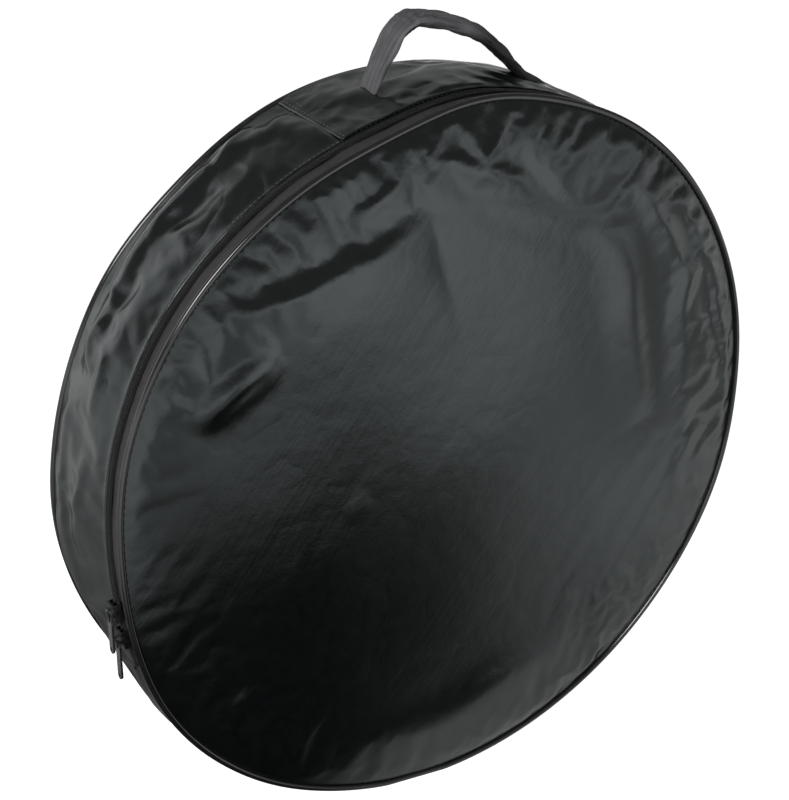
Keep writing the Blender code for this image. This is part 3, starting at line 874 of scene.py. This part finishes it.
LINING_CLEARANCE = 0.0016
FLOOR_CLEARANCE = 0.0012
PATCH_CLEARANCE = 0.0001
PATCH_MARGIN = 0.5


def keep_clear(piece):
    """Hold a settled side band between the lining, the floor and the patch on top."""
    points = read_points(piece)
    angles, radius, y = polar(points)
    shift = gusset_shift(angles, y)
    under_patch = np.abs(angles) < PATCH_END + PATCH_MARGIN
    most = np.where(under_patch, GUSSET_OUT - PATCH_CLEARANCE, np.inf) + shift
    radius = np.clip(radius, LINING_IN + LINING_CLEARANCE + shift, most)
    points = place(angles, radius, y)
    points[:, 2] = np.maximum(points[:, 2], FLOOR + FLOOR_CLEARANCE)
    write_points(piece, points)


BAND_SLACK_share = 0.3
BAND_SETTLING = {"grow": 0.020, "frames": 28, "bending": 8.0, "padding": 0.03}
HEM = 0.0022
HEM_STEPS = 480


def grid_places(rows, columns, some_rows, some_columns):
    """The vertices of a grid that lie in some of its rows or columns; rows and columns may count back."""
    numbers = np.arange(rows * columns).reshape(rows, columns)
    return np.unique(np.concatenate((numbers[some_rows].ravel(), numbers[:, some_columns].ravel())))


def side_band(name, node, start, end, front, rows):
    """One band of the side, sewn in along both seams and at both ends."""
    points, cloth = band_points(start, end, front, REAR - SEAM_GAP, GUSSET_OUT, gusset_relief, rows)
    piece = grid_piece(name, points, cloth)
    columns = points.shape[1]
    held = grid_places(rows, columns, [0, 1, -2, -1], [0, -1])
    inward = np.minimum(np.arange(rows), rows - 1 - np.arange(rows)) / rows
    slack = np.repeat(np.clip(inward / BAND_SLACK_share, 0, 1), columns)
    settle(piece, held, slack, **BAND_SETTLING)
    keep_clear(piece)
    finer(piece)
    thicken(piece, SKIN)
    dress(piece, BAND_NYLON, "black_nylon", BAG, node)


def gusset():
    side_band("gusset_upper_skin", "gusset_upper", -GUSSET_JOIN, GUSSET_JOIN, GUSSET_FRONT, 24)
    hem = np.linspace(-ZIP_END, ZIP_END, HEM_STEPS)
    y = np.full(hem.shape, GUSSET_FRONT + HEM)
    stitch_rows("hem_stitches", [place(hem, GUSSET_OUT + gusset_shift(hem, y) - STITCH_OFFSET, y)], BAG)
    side_band("gusset_bottom_skin", "gusset_bottom", GUSSET_JOIN, 360 - GUSSET_JOIN, FRONT + SEAM_GAP, 30)


# Seams

CORD_SIDES = 12


def rim_line(rim, y, sink=0.0):
    """Points once round a seam, sunk a little towards the bag's centre."""
    angles = np.arange(0, 360, BAND_STEP)
    line = place(angles, rim(angles) - sink, y)
    line[:, 2] = np.maximum(line[:, 2], FLOOR + CORD_RADIUS)
    return line


def pipings():
    front = tube("front_piping", rim_line(front_rim, FRONT), CORD_RADIUS, CORD_SIDES, closed=True)
    dress(front, VINYL, "piping_vinyl", LID_FOLD, "front_piping_lid", "front_piping_base")
    rear = tube("rear_piping_tube", rim_line(rear_rim, REAR, CORD_SINK), CORD_RADIUS, CORD_SIDES, closed=True)
    dress(rear, VINYL, "piping_vinyl", BAG, "rear_piping")


# Zip

TAPE_GAP = 0.0005
TAPE_THICK = 0.0006
TAPE_ROWS = 8
COIL_PITCH = 0.0015
COIL_STEPS = 8
COIL_WIRE = 0.0003
COIL_WIRE_SIDES = 5
COIL_HALF_HEIGHT = 0.0011
COIL_HALF_WIDTH = 0.0019
COIL_OFFSET = 0.0014


def tape_relief(points, share, angles):
    return 0.0003 * waves(points, 0.03, 41) * share


def zip_tape(name, front, back, body, *nodes):
    points, cloth = band_points(-ZIP_END, ZIP_END, front, back, TAPE_OUT, tape_relief, TAPE_ROWS)
    piece = grid_piece(name, points, cloth)
    thicken(piece, TAPE_THICK)
    dress(piece, TAPE, "zip_tape", body, *nodes)


def tapes():
    zip_tape("front_zip_tape", FRONT + SEAM_GAP, ZIP_Y - TAPE_GAP, LID_FOLD,
             "front_tape_lid", "front_tape_left", "front_tape_right")
    zip_tape("rear_zip_tape", ZIP_Y + TAPE_GAP, TAPE_BACK, BAG, "rear_tape")


def coil(name, side):
    """One half of the zip's coil: a flattened helix whose turns reach the other half."""
    turns = int(radians(2 * ZIP_END) * COIL_OUT / COIL_PITCH)
    along = np.arange(turns * COIL_STEPS) / COIL_STEPS
    angles = -ZIP_END + 2 * ZIP_END * along / turns
    phase = 2 * pi * along + (pi if side > 0 else 0)
    radius = (COIL_OUT - COIL_HALF_HEIGHT) + (COIL_HALF_HEIGHT - COIL_WIRE) * np.sin(phase)
    y = ZIP_Y + side * (COIL_OFFSET - (COIL_HALF_WIDTH - COIL_WIRE) * np.cos(phase))
    radius = radius + gusset_shift(angles, y)
    return tube(name, place(angles, radius, y), COIL_WIRE, COIL_WIRE_SIDES)


def coils():
    front = coil("front_zip_coil", -1)
    dress(front, COIL, "zip_coil", LID_FOLD, "front_coil_lid", "front_coil_left", "front_coil_right")
    rear = coil("rear_zip_coil", 1)
    dress(rear, COIL, "zip_coil", BAG, "rear_coil")


# Handle

FOOT_ANGLE = 16
FOOT_X = PATCH_OUT * sin(radians(FOOT_ANGLE))
FOOT_Z = PATCH_OUT * cos(radians(FOOT_ANGLE))
HANDLE_Y = (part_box("handle_strap")[0][1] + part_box("handle_strap")[1][1]) / 2
HANDLE_RISE = 0.0432
HANDLE_shares = (
    (-1.0, -0.02), (-0.925, 0.32), (-0.853, 0.565), (-0.762, 0.81),
    (-0.635, 0.975), (-0.5, 1.0), (-0.381, 0.985), (-0.225, 0.945), (0.0, 0.864),
    (0.218, 0.728), (0.4, 0.555), (0.58, 0.355), (0.726, 0.2), (0.889, 0.09), (1.0, 0.02),
)
STRAP_WIDTH = 0.024
# Along the handle: half the width and half the thickness of the folded strap, as shares of STRAP_WIDTH
HANDLE_WIDTH_shares = (
    (0, 0.34), (0.05, 0.38), (0.12, 0.41), (0.24, 0.42), (0.34, 0.45), (0.42, 0.43), (0.5, 0.36),
    (0.62, 0.31), (0.74, 0.28), (0.86, 0.34), (1, 0.44),
)
HANDLE_THICKNESS_shares = (
    (0, 0.07), (0.12, 0.085), (0.22, 0.11), (0.30, 0.15), (0.42, 0.20), (0.55, 0.19),
    (0.7, 0.12), (0.85, 0.08), (1, 0.07),
)
HANDLE_SIDES = 48
HANDLE_STEPS = 12
# How flat and how rolled the strap is: thickness shares, and the powers that round its section
FLAT_share = 0.07
ROLLED_share = 0.12
SIDE_POWERS = (0.35, 0.5)
FACE_POWERS = (0.6, 0.3)
# Its creases: the free length's share, a pinch where it bends, and the line of the fold
FREE_share = 0.06
PINCH_PLACE_share = 0.31
PINCH_REACH_share = 0.05
PINCH_HEIGHT = 0.0009
FOLD_LINE_share = 0.25
FOLD_LINE_WIDTH = 0.0012
FOLD_LINE_DEPTH = 0.0010


def read_table(table, places):
    return np.interp(places, *np.array(table).T)


def rounded(turn, power):
    """A sine or cosine whose ends are drawn out to a flat or a round form."""
    return np.sign(turn) * np.abs(turn) ** power


def layered(*values):
    """Values side by side, stretched to one shape."""
    return np.stack(np.broadcast_arrays(*values), -1)


def handle():
    """The carrying handle: cloth folded into a strap, rolled thicker where a hand holds it."""
    path = [(FOOT_X * along, FOOT_Z + HANDLE_RISE * rise) for along, rise in HANDLE_shares]
    line = smooth_path(path, HANDLE_STEPS)
    ahead = np.gradient(line, axis=0)
    ahead /= np.linalg.norm(ahead, axis=1)[:, None]
    across = np.stack((-ahead[:, 1], ahead[:, 0]), -1)
    turns = 2 * pi * np.arange(HANDLE_SIDES) / HANDLE_SIDES
    steps = np.linalg.norm(np.diff(line, axis=0), axis=1)
    lengths = np.concatenate(([0], np.cumsum(steps)))[:, None]
    share = lengths / lengths[-1]
    width = STRAP_WIDTH * read_table(HANDLE_WIDTH_shares, share)
    thickness = STRAP_WIDTH * read_table(HANDLE_THICKNESS_shares, share)
    rolled = np.clip((thickness / STRAP_WIDTH - FLAT_share) / ROLLED_share, 0, 1)
    wide = width * rounded(np.cos(turns), SIDE_POWERS[0] + SIDE_POWERS[1] * rolled)
    high = thickness * rounded(np.sin(turns), FACE_POWERS[0] + FACE_POWERS[1] * rolled)
    face = np.sign(high)
    on_cloth = layered(lengths * 0.22, wide, face * 0.01)
    free = np.clip(np.minimum(share, 1 - share) / FREE_share, 0, 1)
    crease = 0.0008 * crumple(on_cloth, 0.008, 71) + 0.0004 * waves(on_cloth, 0.005, 72)
    bend = np.exp(-((share - PINCH_PLACE_share) / PINCH_REACH_share) ** 2)
    pinch = PINCH_HEIGHT * bend * crumple(layered(lengths, wide * 0.4, face), 0.012, 73)
    off_fold = (wide - FOLD_LINE_share * width) / FOLD_LINE_WIDTH
    high = high + free * (face * (crease + pinch) - FOLD_LINE_DEPTH * np.exp(-off_fold ** 2) * face)
    wide = wide + free * 0.0003 * waves(layered(lengths, np.sign(wide) * 0.01), 0.03, 74)
    x = line[:, 0, None] + across[:, 0, None] * high
    z = line[:, 1, None] + across[:, 1, None] * high
    points = np.stack((x, HANDLE_Y + wide, CENTRE + z), -1)
    faces = capped_faces(len(line), HANDLE_SIDES)
    piece = new_piece("handle_strap_cloth", points, faces, layered(lengths, wide))
    piece.data.materials.append(strap_nylon(lengths[-1, 0]))
    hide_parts("handle_strap", "handle_leg_left", "handle_leg_right")
    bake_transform(piece)


PATCH_ROWS = 24
PATCH_FRONT_GAP = 0.0005
PATCH_REAR_GAP = 0.002
PATCH_BUCKLE = 0.0006
PATCH_SUNK_REACH = 0.006
PATCH_SUNK_CLEARANCE = 0.0003
PATCH_SETTLING = {"grow": 0.012, "frames": 22, "bending": 3.0, "padding": 0.05}
# Its two rows of stitches: degrees in from each end, and how far they stay from its edges
PATCH_STITCH_TURNS = (0.7, 1.5)
PATCH_STITCH_FRONT = 0.002
PATCH_STITCH_REAR = 0.004


def patch_relief(points, share, angles):
    return PATCH_BUCKLE * crumple(points, 0.05, 51) + PATCH_BUCKLE


def patch():
    """The wide piece of cloth that carries the handle, sewn down at both ends."""
    points, cloth = band_points(
        -PATCH_END, PATCH_END, GUSSET_FRONT + PATCH_FRONT_GAP, REAR - PATCH_REAR_GAP,
        PATCH_OUT, patch_relief, PATCH_ROWS)
    piece = grid_piece("handle_patch_cloth", points, cloth)
    columns = points.shape[1]
    sewn = grid_places(PATCH_ROWS, columns, [0, 1, -2, -1], [0, 1, 2, -3, -2, -1])
    settle(piece, sewn, np.ones(PATCH_ROWS * columns), **PATCH_SETTLING)
    angles, radius, y = polar(read_points(piece))
    from_end = np.radians(PATCH_END - np.abs(angles)) * PATCH_OUT
    sunk = (PATCH_OUT - GUSSET_OUT - PATCH_SUNK_CLEARANCE) * np.exp(-(from_end / PATCH_SUNK_REACH) ** 2)
    least = PATCH_OUT + gusset_shift(angles, y) - sunk
    write_points(piece, place(angles, np.maximum(radius - sunk, least), y))
    finer(piece)
    thicken(piece, SKIN)
    dress(piece, BAND_NYLON, "black_nylon", BAG, "handle_patch")
    rows = []
    for end in (-PATCH_END, PATCH_END):
        for step in PATCH_STITCH_TURNS:
            y = np.linspace(GUSSET_FRONT + PATCH_STITCH_FRONT, REAR - PATCH_STITCH_REAR, PATCH_ROWS)
            turn = np.full(y.shape, end - np.sign(end) * step)
            row = place(turn, PATCH_OUT + gusset_shift(turn, y), y)
            rows.append(on_surface(piece, row, STITCH_OFFSET))
    stitch_rows("patch_stitches", rows, BAG)


# Metal

METAL_NODES = ("slider_upper", "slider_lower", "zip_stop_left", "zip_stop_right")
TAB_NODES = ("pull_upper", "pull_lower")


def metal():
    for name in METAL_NODES + TAB_NODES:
        node = frame["nodes"][name]
        node.data.materials.clear()
        node.data.materials.append(TAB_METAL if name in TAB_NODES else METAL)


# Inside

PUCKER = 0.0004
LINING_SHEET = 0.0004
LINING_STEPS = 4


def ring_sweep(profile, angles, shift, seed, pucker):
    """A soft ring: a profile of (radius, y) pairs carried round, with small puckers."""
    profile = smooth_path(profile, LINING_STEPS)
    radius = profile[:, 0][:, None]
    y = profile[:, 1][:, None]
    turn = angles[None, :]
    if shift:
        radius = radius + gusset_shift(turn, y)
    base = place(turn, radius, y)
    radius = radius + pucker * crumple(base, 0.03, seed)
    points = place(turn, radius, y + pucker * waves(base, 0.04, seed + 7))
    lengths = np.concatenate(([0], np.cumsum(np.linalg.norm(np.diff(profile, axis=0), axis=1))))
    return points, layered(np.radians(turn) * RIM, lengths[:, None])


# The side's lining and padding, from the lining's inner face outwards and from their edges in
LINING_BOW = 0.0004
LINING_TURN = 0.002
LINING_EDGE = 0.004
ZIP_LINING_TURN = 0.0025
ZIP_LINING_RISE = 0.003
ZIP_LINING_GAP = 0.0008
ZIP_LINING_SINK = 0.0009
MIDDLE_Y = 0.005
LINING_END = 0.5
SIDE_FOAM_LIFT = 0.0008
LOW_FOAM_LIFT = 0.0009
SIDE_FOAM_SINK = 0.0045
FOAM_INSET = 0.006
FOAM_REAR_INSET = 0.007
FOAM_STEPS = 160
FOAM_END = 116.8
LOW_FOAM_START = 118.3


def side_cloth(name, node, profile, start, end, seed):
    """One sheet of the side's lining, a ring point a degree."""
    points, cloth = ring_sweep(profile, np.linspace(start, end, int(end - start) + 1), True, seed, PUCKER)
    piece = grid_piece(name, points, cloth, flip=True)
    thicken(piece, LINING_SHEET, 1)
    dress(piece, LINING, "lining_cloth", BAG, node)


def side_lining():
    """The lining of the side, folded out over the foam's edge beside the zip."""
    front = GUSSET_FRONT + ZIP_LINING_GAP
    rear = REAR - LINING_EDGE
    end = GUSSET_JOIN - LINING_END
    inner = LINING_IN
    profile = (
        (GUSSET_OUT - ZIP_LINING_SINK, front), (inner + ZIP_LINING_RISE, front),
        (inner, front + ZIP_LINING_TURN), (inner - LINING_BOW, MIDDLE_Y),
        (inner, rear - LINING_TURN), (inner + LINING_EDGE, rear))
    side_cloth("side_lining_upper", "gusset_lining_upper", profile, -end, end, 61)
    inner = LOW_LINING_IN
    front = FRONT + LINING_EDGE
    profile = (
        (inner + LINING_EDGE, front), (inner, front + LINING_TURN), (inner - LINING_BOW, 0),
        (inner, rear - LINING_TURN), (inner + LINING_EDGE, rear))
    side_cloth("side_lining_bottom", "gusset_lining_bottom", profile, end, 360 - end, 62)


def side_foam():
    """The padding between the side's cloth and its lining."""
    rear = REAR - FOAM_REAR_INSET
    for part, start, end, front, lift in (
            ("upper", -FOAM_END, FOAM_END, GUSSET_FRONT + FOAM_INSET, 0.0),
            ("bottom", LOW_FOAM_START, 360 - LOW_FOAM_START, FRONT + FOAM_INSET, LOW_FOAM_LIFT)):
        low = LINING_IN + SIDE_FOAM_LIFT + lift
        high = GUSSET_OUT - SIDE_FOAM_SINK + lift
        profile = ((low, front), (high, front), (high, rear), (low, rear))
        points, cloth = ring_sweep(profile, np.linspace(start, end, FOAM_STEPS), True, 63, 0.0)
        piece = grid_piece("side_foam_" + part, points, cloth, wrap_rows=True)
        dress(piece, FOAM, "padding_foam", BAG, "gusset_foam_" + part)


# The rings and spokes that the foam and lining of a panel share, so that they bend alike
RING_shares = (0.0003, 0.08, 0.16, 0.24, 0.32, 0.40, 0.48, 0.56, 0.64, 0.72, 0.80, 0.88, 0.95, 0.99)
RING_ANGLES = np.arange(0, 360, 1.5)
PANEL_FOAM = 0.0014
PANEL_FOAM_INSET = 0.002
LINING_OVERLAP = 0.0008
LINING_DROP = 0.0006
LINING_SLACK = 0.0006
LINING_GAP = 0.0002


def inner_face(node, side):
    """The Y of a panel's foam or lining on the side that looks into the bag."""
    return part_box(node)[1][1] if side < 0 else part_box(node)[0][1]


def panel_foam(name, side, bodies, nodes):
    """A panel's padding, a little thinner than its room so that the cloth's folds clear it."""
    inner = inner_face(nodes[0], side)
    edge = FOAM_EDGE - PANEL_FOAM_INSET
    profile = [(share * edge, inner) for share in RING_shares]
    profile += [(share * edge, inner + side * PANEL_FOAM) for share in reversed(RING_shares)]
    points, cloth = ring_sweep(profile, RING_ANGLES, False, 66, 0.0)
    piece = grid_piece(name, points, cloth, wrap_rows=True, wrap_columns=True, flip=side > 0)
    dress(piece, FOAM, "padding_foam", bodies, *nodes)


def panel_lining(name, side, seam, bodies, nodes, seed):
    """The lining of a panel, drawn over the foam's edge and down to the seam."""
    inner = inner_face(nodes[0], side)
    edge = FOAM_EDGE + LINING_OVERLAP
    profile = [(share * edge, inner) for share in RING_shares]
    profile += [(edge, inner + side * PANEL_FOAM), (edge + LINING_DROP, seam)]
    points, cloth = ring_sweep(profile, RING_ANGLES, False, seed, 0.0)
    points[..., 1] -= side * (LINING_SLACK * (1 + crumple(points, 0.05, seed)) + LINING_GAP)
    piece = grid_piece(name, points, cloth, wrap_columns=True, flip=side > 0)
    thicken(piece, LINING_SHEET, 1)
    dress(piece, LINING, "lining_cloth", bodies, *nodes)


def binding(name, y, rim, bodies, *nodes):
    """Tape folded over the raw edges inside a seam."""
    angles = np.arange(0, 360, 1.0)
    line = place(angles, rim(angles) - RIM + BINDING_MIDDLE, y)
    piece = tube(name, line, BINDING_WIDTH / 2, closed=True, squash=BINDING_THICK / BINDING_WIDTH)
    dress(piece, BINDING, "binding_cloth", bodies, *nodes)


def inside():
    """The padding, lining and binding that show when the lid is open."""
    panel_foam("front_foam_pad", -1, LID_FOLD, ("front_foam_lid", "front_foam_base"))
    panel_foam("back_foam_pad", 1, BAG, ("back_foam",))
    side_lining()
    side_foam()
    panel_lining("front_lining_cloth", -1, FRONT, LID_FOLD, ("front_lining_lid", "front_lining_base"), 64)
    panel_lining("back_lining_cloth", 1, REAR, BAG, ("back_lining",), 65)
    binding("front_binding_tape", BINDING_FRONT, front_rim, LID_FOLD,
            "front_binding_lid", "front_binding_base")
    binding("rear_binding_tape", BINDING_REAR, rear_rim, BAG, "rear_binding")


# Stage

# Soft boxes round the bag, aimed at its middle: name, place, width, height and power
LIGHT_CARDS = (
    ("key", (-1.3, -1.3, 1.0), 1.0, 1.0, 32),
    ("left_back", (-1.5, 1.2, 0.9), 1.0, 1.6, 5),
    ("top_back", (0.2, 1.3, 1.7), 1.4, 0.8, 1),
)


def lights():
    for name, card_place, width, height, power in LIGHT_CARDS:
        lamp = bpy.data.lights.new(name, "AREA")
        lamp.shape = "RECTANGLE"
        lamp.size = width
        lamp.size_y = height
        lamp.energy = power
        box = in_scene(name, lamp)
        box.location = card_place
        aim = Vector((0, 0, CENTRE)) - Vector(card_place)
        box.rotation_euler = aim.to_track_quat("-Z", "Y").to_euler()
        box.visible_glossy = False


def only_in_gloss(piece):
    """Keep a card out of sight, so that it is only there in reflections."""
    piece.visible_camera = False
    piece.visible_diffuse = False
    piece.visible_shadow = False
    piece.visible_transmission = False


def flat_card(name, reach, height, material):
    """A level square, as far from its middle to each side as its reach."""
    mesh = bpy.data.meshes.new(name)
    corners = [(x * reach, y * reach, height) for x, y in ((-1, -1), (1, -1), (1, 1), (-1, 1))]
    mesh.from_pydata(corners, [], [(0, 1, 2, 3)])
    mesh.materials.append(material)
    return in_scene(name, mesh)


SKY_RADIUS = 3.0
# The sweep, from one height to another as shares of the radius, with its strength at each
SKY_SWEEP_shares = (0.02, 0.30, 0.9, 0.14)
# Soft boxes in the sky: direction, inner and outer edge in degrees, and strength
SKY_LOBES = (
    ((-0.62, -0.50, 0.58), 7, 15, 9.0),
    ((-0.52, 0.73, 0.38), 8, 26, 0.85),
    ((0.25, 0.75, 0.55), 10, 42, 0.18),
)


def studio_sky():
    """A dark studio with a pale sweep low down and soft boxes above, for the gloss alone."""
    n = new_material("studio_sky")
    way = n.add("VectorMath", {"operation": "NORMALIZE"}, _0=n.space()).outputs[0]
    height = n.add("SeparateXYZ", Vector=way).outputs[2]
    total = n.between(height, *SKY_SWEEP_shares, smooth=True)
    for direction, inner, outer, strength in SKY_LOBES:
        aim = Vector(direction).normalized()
        dot = n.add("VectorMath", {"operation": "DOT_PRODUCT"}, _0=way, _1=aim).outputs["Value"]
        lobe = n.between(dot, cos(radians(outer)), cos(radians(inner)), 0.0, strength, smooth=True)
        total = n.math("ADD", total, lobe)
    bpy.ops.mesh.primitive_uv_sphere_add(segments=48, ring_count=24, radius=SKY_RADIUS)
    sky = bpy.context.object
    sky.name = "studio_sky"
    sky.data.materials.append(n.show(n.glow(total)))
    only_in_gloss(sky)


PAINTED_FLOOR_HEIGHT = 0.001
PAINTED_FLOOR_REACH = 3.0
# The painted shadow's corners in X and Y, and how soft the edge from each to the next is: the bag's shadow on
# the lit floor, painted dark into the card that the gloss sees
PAINTED_SHADOW_CORNERS = ((0.50, -0.68), (-0.50, -0.135), (-0.30, 0.12), (0.20, -0.225))
PAINTED_SHADOW_SOFTNESSES = (0.055, 0.08, 0.03, 0.16)
# How pale the floor is in reflections, as painted light: dimmer near the bag in front, which is painted shade
# where the bag shades the floor. In each row the strongest ramp counts, and the rows are multiplied. A ramp
# has its axis, the places where it starts and ends, and the strength at each.
PAINTED_FLOOR_LIGHT_ROWS = (
    (("y", -0.60, -0.10, 1.15, 0.45), ("y", 0.20, 0.45, 0.33, 0.75)),
    (("x", -0.42, -0.22, 1.0, 0.3), ("y", 0.0, 0.12, 1.0, 0.0)),
    (("slant", -0.06, 0.17, 1.0, 0.34), ("y", -0.60, -0.38, 0.0, 1.0)),
    (("x", 0.05, 0.40, 0.34, 1.0), ("x", -0.26, -0.14, 0.85, 0.34), ("y", -0.34, -0.14, 0.0, 1.0)),
)
SLANT = 0.82


def painted_floor_and_shadow():
    """A glowing card just over the floor, for the gloss alone: a painted reflection of the lit floor, with
    the bag's shadow before it painted dark, with soft edges.
    """
    n = new_material("painted_floor_and_shadow")
    on_floor = n.add("SeparateXYZ", Vector=n.space())
    x, y = on_floor.outputs[0], on_floor.outputs[1]
    middle = Vector(np.mean(PAINTED_SHADOW_CORNERS, 0))
    # Painted shadow: one inside the bag's shadow on the floor, nought past its soft edges
    dark = 1.0
    for start, end, soft in zip(PAINTED_SHADOW_CORNERS, PAINTED_SHADOW_CORNERS[1:] + PAINTED_SHADOW_CORNERS[:1], PAINTED_SHADOW_SOFTNESSES):
        side = Vector(end) - Vector(start)
        inward = Vector((-side.y, side.x)).normalized()
        if (middle - Vector(start)).dot(inward) < 0:
            inward = -inward
        line = Vector(start).dot(inward)
        distance = n.math("ADD", n.math("MULTIPLY", x, inward.x), n.math("MULTIPLY", y, inward.y))
        edge = n.between(distance, line - soft, line + soft, 0.0, 1.0, smooth=True)
        dark = n.math("MULTIPLY", dark, edge)
    axes = {"x": x, "y": y, "slant": n.math("ADD", x, n.math("MULTIPLY", y, SLANT))}
    strength = n.math("SUBTRACT", 1.0, dark)
    for row in PAINTED_FLOOR_LIGHT_ROWS:
        pale = 0.0
        for axis, *ramp in row:
            pale = n.math("MAXIMUM", pale, n.between(axes[axis], *ramp))
        strength = n.math("MULTIPLY", strength, pale)
    only_in_gloss(flat_card("painted_floor_and_shadow", PAINTED_FLOOR_REACH, PAINTED_FLOOR_HEIGHT, n.show(n.glow(strength))))


WORLD_STRENGTH = 0.13


def world():
    """White where the camera, glass and metal look, a plain grey light elsewhere."""
    made = bpy.data.worlds.new("studio")
    bpy.context.scene.world = made
    n = Nodes(made)
    n.tree.nodes.clear()
    strength = n.between(n.seen(), 0, 1, WORLD_STRENGTH, 1.0)
    background = n.add("Background", Color=(1, 1, 1, 1), Strength=strength)
    n.add("OutputWorld", _0=background.outputs[0])


FLOOR_REACH = 8.0
FLOOR_PAPER = (0.9, 0.9, 0.9, 1)
FLOOR_GLOW = 0.90
FLOOR_SEEN_share = 0.999


def ground():
    """A pale floor that the camera sees as white, with the bag's shadow on it."""
    n = new_material("floor")
    paper = n.add("BsdfDiffuse", Color=FLOOR_PAPER).outputs[0]
    both = n.add("AddShader", _0=paper, _1=n.glow(FLOOR_GLOW).outputs[0]).outputs[0]
    share = n.math("MULTIPLY", n.seen(), FLOOR_SEEN_share)
    mixed = n.add("MixShader", Fac=share, _1=paper, _2=both)
    flat_card("floor", FLOOR_REACH, FLOOR, n.show(mixed))


def camera():
    lens = bpy.data.cameras.new("camera")
    lens.sensor_fit = "HORIZONTAL"
    lens.sensor_width = 36
    lens.lens = CAMERA_LENS
    lens.clip_start = 0.01
    seat = in_scene("camera", lens)
    turn = (CAMERA_AIM - CAMERA_PLACE).to_track_quat("-Z", "Y").to_matrix().to_4x4()
    seat.matrix_world = Matrix.Translation(CAMERA_PLACE) @ turn @ Matrix.Rotation(CAMERA_ROLL, 4, "Z")
    bpy.context.scene.camera = seat


def stage():
    world()
    ground()
    studio_sky()
    painted_floor_and_shadow()
    camera()
    lights()
    bpy.context.scene.view_settings.view_transform = "Standard"


stage()
front_panel()
back_panel()
gusset()
pipings()
tapes()
coils()
patch()
handle()
metal()
inside()
